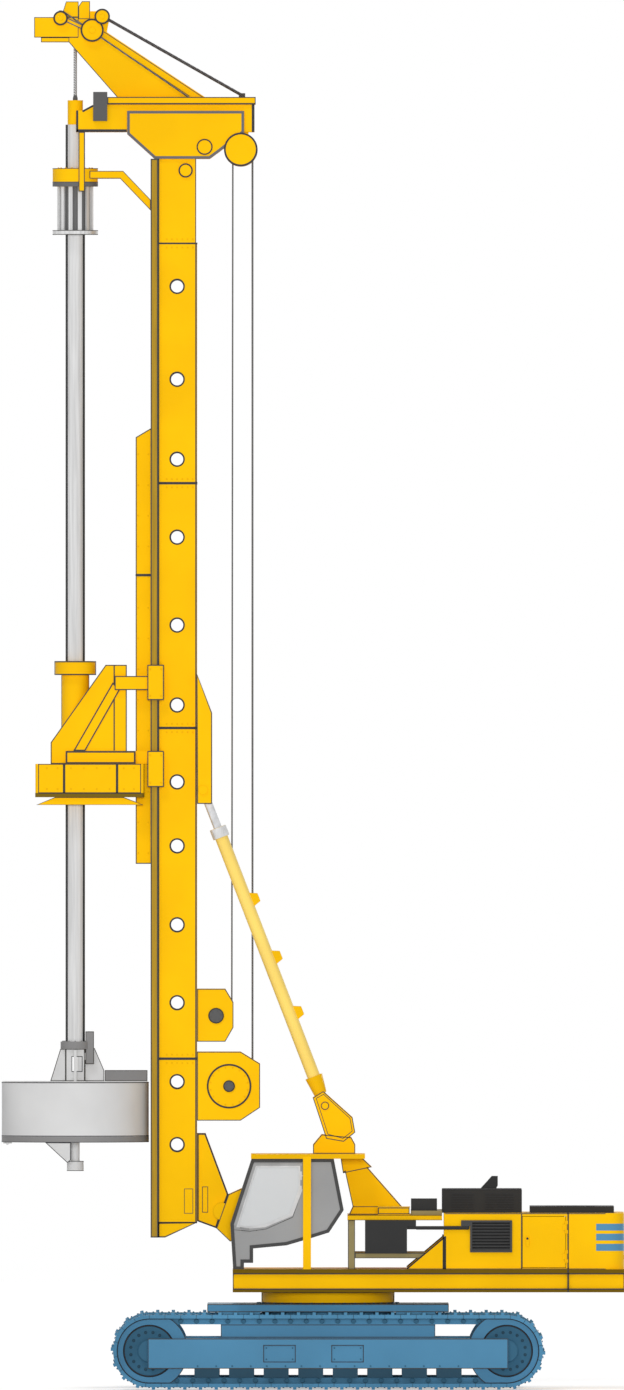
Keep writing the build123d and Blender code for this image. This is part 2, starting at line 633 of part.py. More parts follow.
CAB_OUTLINE = [(-1060, 3216), (70, 3216), (207, 2509), (7, 2205), (-235, 2129), (-580, 2027), (-1060, 1982),
               (-1060, 1782), (-1189, 1782), (-1189, UPPER_TOP), (-1316, UPPER_TOP), (-1355, 2313)]
CAB_ROOM = [(-1027, 3171), (33, 3171), (158, 2518), (-20, 2246), (-250, 2173), (-588, 2073), (-1105, 2026),
            (-1264, 2120), (-1309, 2313)]
CAB_GLASS = [(-1011, 3128), (-395, 3128), (-395, 2803), (-520, 2450), (-879, 2290), (-1089, 2262),
             (-1280, 2280)]
DOOR_OUTLINE = [(-1042, 3165), (-362, 3165), (-362, 2796), (-497, 2412), (-872, 2246), (-1089, 2216),
                (-1312, 2236),
                (-1318, 2318)]


def grown(points, amount):
    """A closed outline moved outwards by a small amount, or inwards if it is negative."""
    face = offset(make_face(Polyline(*[(x, z) for x, z in points], close=True)), amount,
                  kind=Kind.INTERSECTION)
    return face


def side_cut(points, amount, y):
    """A cutter or pane from an outline of the side view, grown by an amount."""
    sketch = Plane.XZ * grown(points, amount)
    return Pos(0, y[1], 0) * extrude(sketch, amount=y[1] - y[0])


def cab_shell():
    """The cab's walls, roof and floor, with window and door openings."""
    solid = side_plate(CAB_OUTLINE, CAB_Y) - side_plate(CAB_ROOM, (CAB_Y[0] + CAB_WALL, CAB_Y[1] - CAB_WALL))
    left = (CAB_Y[0] - 1, CAB_Y[0] + CAB_WALL + 1)
    right = (CAB_Y[1] - CAB_WALL - 1, CAB_Y[1] + 1)
    solid -= side_cut(DOOR_OUTLINE, DOOR_GAP, left)
    solid -= side_cut(CAB_GLASS, 0, right)
    pane = (CAB_Y[0] + 80, CAB_Y[1] - 80)
    solid -= side_plate([(-1130, 3130), (-1000, 3130), (-1270, 2360), (-1420, 2360)], pane)
    solid -= block((-900, -100), (CAB_Y[0] + 150, CAB_Y[1] - 150), (3160, 3230))
    solid -= side_plate([(20, 3130), (120, 3130), (190, 2620), (90, 2620)], pane)
    for knuckle in door_hinges(CAB_HINGE, CAB_HINGE[0] + 40, CAB_Y[0], CAB_HINGE_RADIUS, CAB_HINGES_Z, False):
        solid += knuckle
    return solid


def cab_windows():
    """Front, right, roof and rear panes, each seated in its opening."""
    pane = (CAB_Y[0] + 80 + WINDOW_GAP, CAB_Y[1] - 80 - WINDOW_GAP)
    front = [(-1078, 3100), (-1066, 3100), (-1310, 2364), (-1322, 2364)]
    rear = [(72, 3100), (84, 3100), (178, 2630), (166, 2630)]
    return [side_plate(front, pane), side_plate(rear, pane),
            block((-900 + WINDOW_GAP, -100 - WINDOW_GAP),
                  (CAB_Y[0] + 150 + WINDOW_GAP, CAB_Y[1] - 150 - WINDOW_GAP), (3196, 3206)),
            side_cut(CAB_GLASS, -WINDOW_GAP, (CAB_Y[1] - 22, CAB_Y[1] - 14))]


def cab_door():
    """The cab's side door frame with its window opening and a grab handle."""
    y = (CAB_Y[0], CAB_Y[0] + CAB_WALL)
    solid = side_cut(DOOR_OUTLINE, 0, y) - side_cut(CAB_GLASS, 0, (y[0] - 1, y[1] + 1))
    for knuckle in door_hinges(CAB_HINGE, CAB_HINGE[0] - 30, CAB_Y[0], CAB_HINGE_RADIUS, CAB_HINGES_Z, True):
        solid += knuckle
    return solid


def cab_door_glass():
    """The pane of the side door."""
    return side_cut(CAB_GLASS, -WINDOW_GAP, (CAB_Y[0] + 14, CAB_Y[0] + 22))


def operator_seat():
    """Seat base, cushion and backrest."""
    y = (CAB_Y[0] + CAB_Y[1]) / 2
    points = [(-690, 2064.1), (-588, 2073.3), (-260, 2170.4), (-230, 2420), (-150, 2980), (-260, 3000),
              (-360, 2520), (-760, 2560),
              (-790, 2450), (-560, 2400), (-600, 2300)]
    return side_plate(points, (y - 240, y + 240))


def control_console():
    """The instrument post in front of the seat."""
    y = (CAB_Y[0] + CAB_Y[1]) / 2
    return side_plate([(-1220, 2094.6), (-1105, 2026.6), (-1060, 2030.6), (-1080, 2500), (-1180, 2560),
                       (-1230, 2480)], (y - 60, y + 280))


def mast_section(bottom, top, rear_x):
    """One length of the mast: a box tube with its round holes and end plates' rims."""
    wide = (-MAST_HALF_WIDTH, MAST_HALF_WIDTH)
    half = MAST_HALF_WIDTH - MAST_WALL
    solid = block((MAST_FRONT_X, rear_x), wide, (bottom, top))
    solid -= block((MAST_FRONT_X + MAST_WALL, rear_x - MAST_WALL), (-half, half), (bottom, top))
    for z in MAST_HOLES_Z:
        if bottom < z < top:
            solid -= cross_bar(MAST_HOLE_X, z, MAST_HOLE_RADIUS, wide)
    return solid


def mast_foot():
    """The tapered foot under the lowest mast length."""
    rear = MAST_REAR_X
    points = [(MAST_FRONT_X, MAST_FOOT_Z), (-2282, MAST_FOOT_Z), (rear, MAST_SEAMS_Z[0]),
              (MAST_FRONT_X, MAST_SEAMS_Z[0])]
    return side_plate(points, (-MAST_HALF_WIDTH, MAST_HALF_WIDTH))


def mast_lengths():
    """The five bolted lengths of the mast, the lowest with its foot."""
    found = []
    last = len(MAST_SEAMS_Z) - 2
    for index in range(last + 1):
        rear_x = MAST_TOP_REAR_X if index == last else MAST_REAR_X
        top = MAST_SEAMS_Z[index + 1] - (0 if index == last else SEAT)
        length = mast_section(MAST_SEAMS_Z[index], top, rear_x)
        if index == last:
            for boss in on_both_sides(cross_bar(*TOP_BOSS, MAST_HOLE_RADIUS,
                                                (MAST_HALF_WIDTH - MAST_WALL, TOP_BOSS_Y))):
                length += boss
        found.append(length + mast_foot() if index == 0 else length)
    return found


def guide_rails():
    """The two rails on the mast's front that the sledge grips."""
    rail = block((RAIL_FRONT_X, MAST_FRONT_X), RAIL_Y, (MAST_FOOT_Z, CHEEK_BOTTOM - SEAT))
    return on_both_sides(rail)


def foot_bracket():
    """The plates on the mast's rear that turn on the pivot pins."""
    points = [(MAST_REAR_X, 3576), (-1715, 3576), (-1396, 2719), (-1565, 2244), (MAST_REAR_X, 2342)]
    bore = cross_bar(PIVOT_X, PIVOT_Z, PIVOT_PIN_RADIUS + PIN_CLEARANCE, FOOT_BRACKET_Y)
    plate = side_plate(points, FOOT_BRACKET_Y) + cross_bar(PIVOT_X, PIVOT_Z, PIVOT_EYE_RADIUS, FOOT_BRACKET_Y)
    left, right = on_both_sides(plate - bore)
    cover = side_plate([(MAST_REAR_X, 3576), (-1715, 3576), (-1650, 3400), (-1690, 3400), (-1745, 3540),
                        (MAST_REAR_X, 3540)],
                       (-FOOT_BRACKET_Y[1], FOOT_BRACKET_Y[1]))
    return left + right + cover


def crowd_casing():
    """The cover of the crowd winch's rope sheaves, between the rails."""
    y = (-CASING_HALF_WIDTH, CASING_HALF_WIDTH)
    front_top = CASING_Z[1] - 126
    lower = block((CASING_FRONT_X, MAST_FRONT_X), y, (CASING_Z[0], CASING_SEAM_Z - 4))
    upper = side_plate([(CASING_FRONT_X, CASING_SEAM_Z + 4), (CASING_FRONT_X, front_top),
                        (RAIL_FRONT_X, CASING_Z[1]),
                        (MAST_FRONT_X, CASING_Z[1]), (MAST_FRONT_X, CASING_SEAM_Z + 4)], y)
    across = (CASING_FRONT_X + CASING_WALL, MAST_FRONT_X - CASING_WALL)
    inner = (y[0] + CASING_WALL, y[1] - CASING_WALL)
    lower -= block(across, inner, (CASING_Z[0] + CASING_WALL, CASING_SEAM_Z - 4 - CASING_WALL))
    upper -= block(across, inner, (CASING_SEAM_Z + 4 + CASING_WALL, front_top - CASING_WALL))
    return [lower, upper]


def stay_head_bracket():
    """The plates on the mast's rear that hold the backstay rods' eyes."""
    points = [(MAST_REAR_X, 10010), (-1624, 9464), (-1624, 8190), (MAST_REAR_X, 8190)]
    reach = GLAND_RADIUS + HEAD_PLATE_CLEARANCE
    inner = (STAY_Y - reach - CLEVIS_PLATE, STAY_Y - reach)
    outer = (STAY_Y + reach, STAY_Y + reach + CLEVIS_PLATE)
    plate = side_plate(points, inner) + side_plate(points, outer)
    eye = EYE_WIDTH / 2 + HEAD_BOSS_GAP
    cap = cross_bar(STAY_HEAD_X, STAY_HEAD_Z, HEAD_BOSS_RADIUS, (STAY_Y + eye, outer[1] + 26))
    cap += cross_bar(STAY_HEAD_X, STAY_HEAD_Z, HEAD_BOSS_RADIUS, (inner[0], STAY_Y - eye))
    left, right = on_both_sides(plate + cap)
    web = side_plate([(MAST_REAR_X, 10010), (-1624, 9464), (-1624, 9000), (-1664, 9000), (-1664, 9450),
                      (MAST_REAR_X, 9880)],
                     (-outer[1], outer[1]))
    base = block((MAST_REAR_X, MAST_REAR_X + 30), (-outer[1], outer[1]), (8640, 9900))
    return left + right + web + base


WINCHES = (
    # name, centre x and z, drum radius, flange radius, half width, housing outline
    ("main", -1386, 4235, 308, 352, 250,
     [(MAST_REAR_X, 3752), (-1225, 3752), (-952, 3934), (-952, 4550), (-1225, 4718), (MAST_REAR_X, 4718)]),
    ("auxiliary", -1568, 5222, 205, 225, 200,
     [(MAST_REAR_X, 4858), (-1439, 4858), (-1325, 5056), (-1325, 5409), (-1439, 5600), (MAST_REAR_X, 5600)]),
)
WINCH_CHEEK = 40
HUB_CLEARANCE = 0.8
HUB_RADII = {"main": 77, "auxiliary": 105}


def winch_housing(row):
    """Two cheeks and the plates between them, open at the rear top for the rope."""
    name, x, z, drum, flange, half, outline = row
    solid = side_plate(outline, (half + 10, half + 10 + WINCH_CHEEK))
    solid -= cross_bar(x, z, HUB_RADII[name] + HUB_CLEARANCE, (half, half + 60))
    left, right = on_both_sides(solid)
    solid = left + right
    across = (-half - 10, half + 10)
    solid += block((MAST_REAR_X, MAST_REAR_X + 30), across, (outline[0][1], outline[-1][1]))
    solid += side_plate([outline[0], outline[1], (outline[1][0], outline[1][1] + 25),
                         (outline[0][0], outline[0][1] + 25)], across)
    return solid


def winch_drum(row):
    """A rope drum with its flanges and the hubs that turn in the cheeks."""
    name, x, z, drum, flange, half, outline = row
    solid = cross_bar(x, z, drum, (-half, half))
    for sign in (-1, 1):
        solid += cross_bar(x, z, flange, (sign * half, sign * (half - 30)))
        solid += cross_bar(x, z, HUB_RADII[name], (sign * half, sign * (half + 10 + WINCH_CHEEK + 12)))
    return solid


HEAD_Z = (MAST_SEAMS_Z[-1], MAST_SEAMS_Z[-1] + 385)
HEAD_PLATE = 105
HEAD_TOP = HEAD_Z[1] + HEAD_PLATE
JIB_BOX_Z = (HEAD_TOP + 837, HEAD_TOP + 1121)
SHEAVES = (
    # name, centre x and z, outer radius, groove depth, limits in y, hub radius
    ("rear_sheave", -1222, HEAD_Z[0] - 245, 190, 32, (-45, 45), 60),
    ("auxiliary_sheave", -1504, HEAD_Z[0] - 25, 185, 28, (-190, -130), 45),
    ("jib_sheave", KELLY_X + 172, JIB_BOX_Z[0] - 32, 200, 28, (-45, 45), 60),
    ("jib_disc", -3305, JIB_BOX_Z[0] + 101, 161, 20, (-190, -130), 45),
    ("jib_front_pulley", -3748, JIB_BOX_Z[0] + 270, 101, 16, (-190, -130), 35),
    ("jib_rear_pulley", -3164, JIB_BOX_Z[0] + 293, 108, 16, (-255, -200), 35),
)
AXLE_CLEARANCE = 1


def sheave(row):
    """A grooved rope wheel with a bore for its axle."""
    name, x, z, radius, groove, y, hub = row
    middle, half = (y[0] + y[1]) / 2, (y[1] - y[0]) / 2
    profile = make_face(Polyline((hub, -half), (radius, -half), (radius, -half * 0.75), (radius - groove, 0),
                                 (radius, half * 0.75), (radius, half), (hub, half), close=True))
    return Pos(x, middle, z) * Rot(90, 0, 0) * revolve(Plane.XZ * profile, Axis.Z)


def axle(row, y):
    """The fixed axle that carries a rope wheel."""
    return cross_bar(row[1], row[2], row[6] - AXLE_CLEARANCE, y)


HEAD_FORK_Y = 150
HEAD_WALL = 40
HEAD_FRONT_X = -3528
HEAD_REAR_X = -1030
HANGER_Y = (60, 100)
HEAD_GUARD_RADIUS = 234
HEAD_GUARD_PROUD = 14
CHEEK_BOSS = (-1729, CHEEK_BOTTOM + 166)
CHEEK_BOSS_RADIUS = 110
CHEEK_BOSS_PROUD = 10
ROPE_SLOT_X = (-2060, -1740)
ROPE_SLOT_HALF_WIDTH = 38
HEAD_BLOCK_REAR_X = -2860
HEAD_PLATE_X = (-3091, -1014)


def mast_head():
    """The head box, its cheeks and top plate, and the fork that the kelly rises in."""
    outside = MAST_HALF_WIDTH
    nose = HEAD_Z[1] - 84
    fork = [(HEAD_FRONT_X, HEAD_Z[0]), (HEAD_FRONT_X, nose), (-3434, nose), (-3286, HEAD_Z[1]),
            (HEAD_BLOCK_REAR_X, HEAD_Z[1]), (HEAD_BLOCK_REAR_X, HEAD_Z[0])]
    half = side_plate(fork, (HEAD_FORK_Y, outside))
    half += block((HEAD_BLOCK_REAR_X, HEAD_REAR_X), (outside - HEAD_WALL, outside), HEAD_Z)
    low, high = CHEEK_BOTTOM, HEAD_Z[1] - 90
    cheek = [(-2814, high), (-1176, high), (-1176, low + 370), (-1512, low + 106), (-1656, low),
             (-2430, low), (-2814, low + 346)]
    half += side_plate(cheek, (outside, outside + HEAD_WALL))
    half += cross_bar(*CHEEK_BOSS, CHEEK_BOSS_RADIUS, (outside, outside + HEAD_WALL + CHEEK_BOSS_PROUD))
    half += block(HEAD_PLATE_X, (0, outside + HEAD_WALL), (HEAD_Z[1], HEAD_TOP))
    half -= block(ROPE_SLOT_X, (0, ROPE_SLOT_HALF_WIDTH), (HEAD_Z[1], HEAD_TOP))
    name, x, z, radius, groove, y, hub = SHEAVES[0]
    half += cross_bar(x, z, radius, HANGER_Y)
    half += cross_bar(x, z, HEAD_GUARD_RADIUS, (outside, outside + HEAD_WALL + HEAD_GUARD_PROUD))
    half += block((x - 108, x + 108), HANGER_Y, (z, HEAD_Z[1]))
    name, x, z, radius, groove, y, hub = SHEAVES[1]
    half += block((x - 60, x + 60), HANGER_Y, (z - 80, HEAD_Z[1]))
    left, right = on_both_sides(half)
    solid = left + right
    solid += block((HEAD_BLOCK_REAR_X, MAST_FRONT_X), (-outside, outside), HEAD_Z)
    solid += block((MAST_FRONT_X, MAST_TOP_REAR_X), (-outside, outside), (HEAD_Z[0], HEAD_Z[0] + 30))
    solid += axle(SHEAVES[0], (-HANGER_Y[1], HANGER_Y[1]))
    return solid + axle(SHEAVES[1], (-outside, -HANGER_Y[0]))


HEAD_BOX_X = (-3290, -3094)
HEAD_BOX_DEPTH = 90
HEAD_BOX_Z = (HEAD_Z[1] - 230, HEAD_TOP + 71)


def head_box():
    """The dark control box at the front of the head."""
    return block(HEAD_BOX_X, (MAST_HALF_WIDTH, MAST_HALF_WIDTH + HEAD_BOX_DEPTH), HEAD_BOX_Z)


JIB_PLATE_Y = (90, 120)
JIB_FOOT_X = (-2954, -1722)
JIB_BOX_X = (-4117, -3497)
JIB_LIP = (-4022, JIB_BOX_Z[0] - 67)
JIB_LIP_END_X = -3626
JIB_RIDGE = (-3140, JIB_BOX_Z[0] + 101)
JIB_COVER_STEP = 178


def jib():
    """Two jib plates with their cross plates, head box and axles."""
    front, rear = JIB_FOOT_X
    low, high = JIB_BOX_Z
    lower = [(JIB_LIP_END_X, JIB_LIP[1]), (front, HEAD_TOP), (rear, HEAD_TOP), JIB_RIDGE, (-3300, low + 138),
             (JIB_LIP_END_X, low)]
    plates = side_plate(lower, JIB_PLATE_Y)
    plates += block(JIB_BOX_X, JIB_PLATE_Y, JIB_BOX_Z)
    plates += block((JIB_LIP[0], JIB_LIP_END_X), JIB_PLATE_Y, (JIB_LIP[1], low))
    split = JIB_BOX_X[1]
    crest = high + 219
    plates += side_plate([(-3710, high), (-3710, high + 96), (-3671, crest), (split, crest), (split, high)],
                         JIB_PLATE_Y)
    crest, base = high + 223, high - 26
    plates += side_plate([(split, high + 152), (-3448, crest), (-3336, crest), (-3336, base), (split, base)],
                         JIB_PLATE_Y)
    crest, base = high + 84, low + 68
    plates += side_plate([(-3400, crest), (-3400, base), (-3100, base), (-3060, low + 293), (-3164, crest)],
                         JIB_PLATE_Y)
    left, right = on_both_sides(plates)
    solid = left + right
    inner = (-JIB_PLATE_Y[0], JIB_PLATE_Y[0])
    solid += block((JIB_BOX_X[0], JIB_BOX_X[0] + 157), inner, JIB_BOX_Z)
    solid += side_plate([(front, HEAD_TOP), (-2600, HEAD_TOP), (-2600, HEAD_TOP + 30),
                         (front - 16, HEAD_TOP + 30)], inner)
    solid += side_plate([(rear - JIB_COVER_STEP, HEAD_TOP), (rear, HEAD_TOP), (-2600, HEAD_TOP + 565),
                         (-2640, HEAD_TOP + 525)], inner)
    for row in SHEAVES[2:]:
        outside = row[5][0] < -JIB_PLATE_Y[1]
        reach = (row[5][0] - 10, -JIB_PLATE_Y[0]) if outside else (-JIB_PLATE_Y[1], JIB_PLATE_Y[1])
        solid += axle(row, reach)
    return solid


PENDANT_Y = 150
PENDANT_RADIUS = 21
PENDANT_HEAD = (-3080, JIB_BOX_Z[1] - 40)
PENDANT_FOOT_X = -1200


def pendant_stays():
    """The two stays from the jib head down to the rear of the mast head."""
    y = PENDANT_Y
    x, z = PENDANT_HEAD
    stay = rod((x + 7, y, z + 4), (PENDANT_FOOT_X, y, HEAD_TOP + PENDANT_RADIUS + 3), PENDANT_RADIUS)
    stay += cross_bar(x, z, PENDANT_RADIUS + 5, (JIB_PLATE_Y[1] + SEAT, y + 28))
    stay += block((PENDANT_FOOT_X - 50, PENDANT_FOOT_X + 40), (y - 20, y + 20), (HEAD_TOP, HEAD_TOP + 55))
    return on_both_sides(stay)


GUIDE_RADIUS = 317
GUIDE_BAND_RADIUS = 300
GUIDE_Z = (16842, 16909, 17098)
CAGE_PLATE_Z = (16166, 16229)
CAGE_BAR_COUNT = 12
CAGE_BAR_PLACE = 240
CAGE_BAR = (30, 56)
GUIDE_ARM_Y = (205, 255)
GUIDE_ARM_X = (-3340, -2871)
GUIDE_ARM_Z = (16954, 17060)
GUIDE_ARM_FOOT_Z = (16506, 16656)
GUIDE_BAR_X = (-3494, -3408)
GUIDE_BAR_Y = (272, 326)
GUIDE_BAR_BOTTOM = 16772


def kelly_guide():
    """The block that guides the kelly bar, with its arms to the mast and bars to the head."""
    solid = upright(KELLY_X, 0, GUIDE_RADIUS, GUIDE_Z[1:])
    solid += upright(KELLY_X, 0, GUIDE_BAND_RADIUS, GUIDE_Z[:2])
    low, high = GUIDE_ARM_Z
    front, knee = GUIDE_ARM_X
    arm = [(front, high), (knee, high), (RAIL_FRONT_X, GUIDE_ARM_FOOT_Z[1]),
           (RAIL_FRONT_X, GUIDE_ARM_FOOT_Z[0]),
           (knee - 42, low), (front, low)]
    for side in on_both_sides(side_plate(arm, GUIDE_ARM_Y)):
        solid += side
    for side in on_both_sides(block(GUIDE_BAR_X, GUIDE_BAR_Y, (GUIDE_BAR_BOTTOM, HEAD_Z[0]))):
        solid += side
    return solid - upright(KELLY_X, 0, DRIVE_BORE_RADIUS, (GUIDE_Z[0], GUIDE_Z[2]))


def kelly_guide_cage():
    """The bars under the guide block and the ring plate that closes them."""
    solid = upright(KELLY_X, 0, GUIDE_RADIUS, CAGE_PLATE_Z)
    middle = (CAGE_PLATE_Z[1] + GUIDE_Z[0] - SEAT) / 2
    height = GUIDE_Z[0] - SEAT - CAGE_PLATE_Z[1]
    bar = Pos(CAGE_BAR_PLACE, 0, 0) * Box(*CAGE_BAR, height)
    for index in range(CAGE_BAR_COUNT):
        turn = (index + 0.5) * 360 / CAGE_BAR_COUNT
        solid += Pos(KELLY_X, 0, middle) * Rot(0, 0, turn) * bar
    return solid - upright(KELLY_X, 0, DRIVE_BORE_RADIUS, CAGE_PLATE_Z)


SLEDGE_PLATE_Y = (215, 250)
SLEDGE_RAIL_PROUD = 40
SLEDGE_FRONT_X = -3886
SLEDGE_FRONT_Z = GEARBOX_TOP + 302
SLEDGE_TOP = GEARBOX_TOP + 1389
SLEDGE_POST_X = (-2996, -2820)
SLEDGE_SILL_X = (-3676, -2696)
SLEDGE_SILL_TOP = GEARBOX_TOP + 182
SLEDGE_ARM_X = (-2989, -2513)
SLEDGE_ARM_Z = (GEARBOX_TOP + 1036, GEARBOX_TOP + 1232)
CLAMP_X = (-2530, -2299)
CLAMPS_Z = ((SLEDGE_TOP - 493, SLEDGE_TOP), (SLEDGE_SILL_TOP - 504, SLEDGE_SILL_TOP))


def sledge_frame():
    """The sledge: two gusset plates, posts, sills and the clamps round the rails."""
    base = GEARBOX_TOP + SEAT
    inner, outer = SLEDGE_PLATE_Y
    proud = (outer, outer + SLEDGE_RAIL_PROUD)
    rear = SLEDGE_POST_X[1]
    gusset_points = [(SLEDGE_FRONT_X, base), (SLEDGE_FRONT_X, SLEDGE_FRONT_Z), (-3116, SLEDGE_TOP),
                     (rear, SLEDGE_TOP), (rear, base)]
    solid = side_plate(gusset_points, SLEDGE_PLATE_Y)
    brace = [(-3570, SLEDGE_SILL_TOP), (-3401, SLEDGE_SILL_TOP), (-2908, SLEDGE_TOP - 339),
             (-3018, SLEDGE_TOP - 247)]
    solid += side_plate(brace, (outer, outer + 10))
    solid += block(SLEDGE_POST_X, (150, outer), (SLEDGE_SILL_TOP, SLEDGE_TOP))
    solid += block(SLEDGE_ARM_X, (outer, outer + 80), SLEDGE_ARM_Z)
    solid += block(SLEDGE_SILL_X, proud, (base, SLEDGE_SILL_TOP))
    solid += block((rear, CLAMP_X[0]), SLEDGE_PLATE_Y, (base, SLEDGE_SILL_TOP))
    for z in CLAMPS_Z:
        clamp = block(CLAMP_X, (RAIL_Y[0], RAIL_Y[1] + CLAMP_GAP + CLAMP_WALL), z)
        clamp -= block((RAIL_FRONT_X - CLAMP_GAP, MAST_FRONT_X + CLAMP_GAP),
                       (RAIL_Y[0] - 1, RAIL_Y[1] + CLAMP_GAP), z)
        clamp -= block((MAST_FRONT_X, CLAMP_X[1]), (RAIL_Y[0] - 1, MAST_HALF_WIDTH + MAST_SIDE_GAP), z)
        solid += clamp
    left, right = on_both_sides(solid)
    tie_x = (SLEDGE_POST_X[0], SLEDGE_POST_X[1] - 10)
    for z in ((SLEDGE_SILL_TOP + 28, SLEDGE_SILL_TOP + 168), (SLEDGE_TOP - 139, SLEDGE_TOP)):
        left += block(tie_x, (-outer, outer), z)
    return left + right


GEARBOX_X = (-4099, -2580)
GEARBOX_HALF_WIDTH = 470
GEARBOX_BOTTOM = 8284
GEARBOX_CORNER = 40
SKIRT_TOP_X = (-3825, -2866)
SKIRT_BOTTOM_X = (-4088, -2586)
SKIRT_HALF_WIDTH = 430
SKIRT_DROP = 108
NECK_RADIUS = 191
NECK_HEIGHT = 1246
COLLAR_RADIUS = 282
COLLAR_HEIGHT = 196
MOTOR_PLACE = (-3195, 106)
MOTOR_RADIUS = 88
MOTOR_HEIGHT = 620
DRIVE_SEAT_X = (-3676, -2720)
DRIVE_SEAT_HALF_WIDTH = 200
CASING_CLEARANCE = 25


def rotary_drive():
    """The rotary drive: gearbox, seat for two motors, neck, collar and flared skirt."""
    z = (GEARBOX_BOTTOM, GEARBOX_TOP)
    gearbox = block(GEARBOX_X, (-GEARBOX_HALF_WIDTH, GEARBOX_HALF_WIDTH), z)
    gearbox = fillet(gearbox.edges().filter_by(Axis.Z), GEARBOX_CORNER)
    seat_top = GEARBOX_TOP + (SLEDGE_SILL_TOP - GEARBOX_TOP) * 0.9
    gearbox += block(DRIVE_SEAT_X, (-DRIVE_SEAT_HALF_WIDTH, DRIVE_SEAT_HALF_WIDTH), (GEARBOX_TOP, seat_top))
    low = GEARBOX_BOTTOM - SKIRT_DROP
    skirt = side_plate([(SKIRT_TOP_X[0], z[0]), (SKIRT_TOP_X[1], z[0]), (SKIRT_BOTTOM_X[1], low),
                        (SKIRT_BOTTOM_X[0], low)],
                       (-SKIRT_HALF_WIDTH, SKIRT_HALF_WIDTH))
    solid = gearbox + skirt
    neck_top = GEARBOX_TOP + NECK_HEIGHT
    solid += upright(KELLY_X, 0, NECK_RADIUS, (GEARBOX_TOP, neck_top))
    solid += upright(KELLY_X, 0, COLLAR_RADIUS, (neck_top, neck_top + COLLAR_HEIGHT))
    for side in (-1, 1):
        solid += upright(MOTOR_PLACE[0], side * MOTOR_PLACE[1], MOTOR_RADIUS,
                         (GEARBOX_TOP, GEARBOX_TOP + MOTOR_HEIGHT))
    half = CASING_HALF_WIDTH + CASING_CLEARANCE
    solid -= block((CASING_FRONT_X - CASING_CLEARANCE, GEARBOX_X[1] + 80), (-half, half), (low, seat_top))
    return solid - upright(KELLY_X, 0, DRIVE_BORE_RADIUS, (low, neck_top + COLLAR_HEIGHT))


def kelly_bar():
    """The kelly bar's outer tube with three drive ribs."""
    z = (KELLY_BOTTOM, KELLY_TOP)
    solid = upright(KELLY_X, 0, KELLY_RADIUS, z)
    for turn in KELLY_RIB_TURNS:
        rib = Pos(KELLY_X, 0, (z[0] + z[1]) / 2) * Rot(0, 0, turn) * Pos(KELLY_RIB_RADIUS - 10, 0, 0)
        solid += rib * Box(20, KELLY_RIB_WIDTH, z[1] - z[0])
    return solid - upright(KELLY_X, 0, KELLY_BORE_RADIUS, (z[0] + 30, z[1]))


def swivel():
    """The swivel that hangs on the rope and carries the kelly bar."""
    body = upright(KELLY_X, 0, 107, (KELLY_TOP + SEAT, 18052))
    return body - upright(KELLY_X, 0, 30, (KELLY_TOP, 18060))


LEVER_X = (-3399, -3280)
LEVER_Y = (-112, -52)
LEVER_GAP = 4


def tool_head():
    """Flange, square kelly box with its pin window, gussets, lever and locking bar."""
    solid = upright(KELLY_X, 0, 205, (4756, KELLY_BOTTOM))
    solid += block((KELLY_X - 133, KELLY_X + 133), (-133, 133), (4305, 4756))
    solid -= block((-3594, -3514), (-134, 134), (4435, 4655))
    left_gusset = [(-3675, 4756), (-3752, 4756), (-3892, 4305), (-3675, 4305)]
    right_gusset = [(-3409, 4768), (-3270, 4768), (-3136, 4455), (-3136, 4305), (-3409, 4305)]
    solid += side_plate(left_gusset, (-20, 20)) + side_plate(right_gusset, (-20, 20))
    for reach in ((-330, -120), (120, 330)):
        solid += side_plate([(-3562, 4740), (-3522, 4740), (-3522, 4305), (-3562, 4305)], reach)
    solid += block((-3412, LEVER_X[0] - SEAT), LEVER_Y, (4600, 4700))
    notch = (LEVER_X[0] - LEVER_GAP, LEVER_X[1] + LEVER_GAP)
    return solid - block(notch, (LEVER_Y[0] - LEVER_GAP, LEVER_Y[1] + LEVER_GAP), (4756, KELLY_BOTTOM))


def tool_lever():
    """The lever beside the kelly box and the bar that works the floor's latch."""
    lever = block(LEVER_X, LEVER_Y, (4544, 5002))
    bar = block((-3129, -2530), (-70, 70), (4305 + SEAT, 4458))
    return [lever, bar]


def bucket_body():
    """The drilling bucket: an open drum with a bridge, and the fixed edge by the hinge."""
    outer = upright(KELLY_X, 0, TOOL_RADIUS, (BUCKET_FLOOR_TOP, BUCKET_TOP))
    solid = outer - upright(KELLY_X, 0, TOOL_RADIUS - BUCKET_WALL, (BUCKET_FLOOR_TOP, BUCKET_TOP))
    bridge = block((-4560, -2530), (-150, 150), (4230, 4305))
    bridge += block((-3692, -3392), (-1000, 1000), (4230, 4305))
    bridge &= upright(KELLY_X, 0, TOOL_RADIUS - 4, (4200, 4310))
    return solid + bridge + bucket_hinge_edge()


def bucket_hinge_edge():
    """The fixed part of the floor outside the hinge line."""
    disc = upright(KELLY_X, 0, TOOL_RADIUS, (BUCKET_BOTTOM, BUCKET_FLOOR_TOP))
    edge = disc & block((KELLY_X - 1100, KELLY_X - FLOOR_HINGE_OFFSET), (-600, 600),
                        (BUCKET_BOTTOM, BUCKET_FLOOR_TOP))
    return edge + floor_knuckle((-140, 140), -1)


def floor_knuckle(y, side):
    """A hinge knuckle below the floor, with its leaf to one side of the hinge line."""
    x, z = KELLY_X - FLOOR_HINGE_OFFSET, BUCKET_BOTTOM - FLOOR_HINGE_DROP
    leaf = block(sorted((x, x + side * 60)), y, (z, BUCKET_BOTTOM))
    return leaf + cross_bar(x, z, FLOOR_HINGE_RADIUS, y)


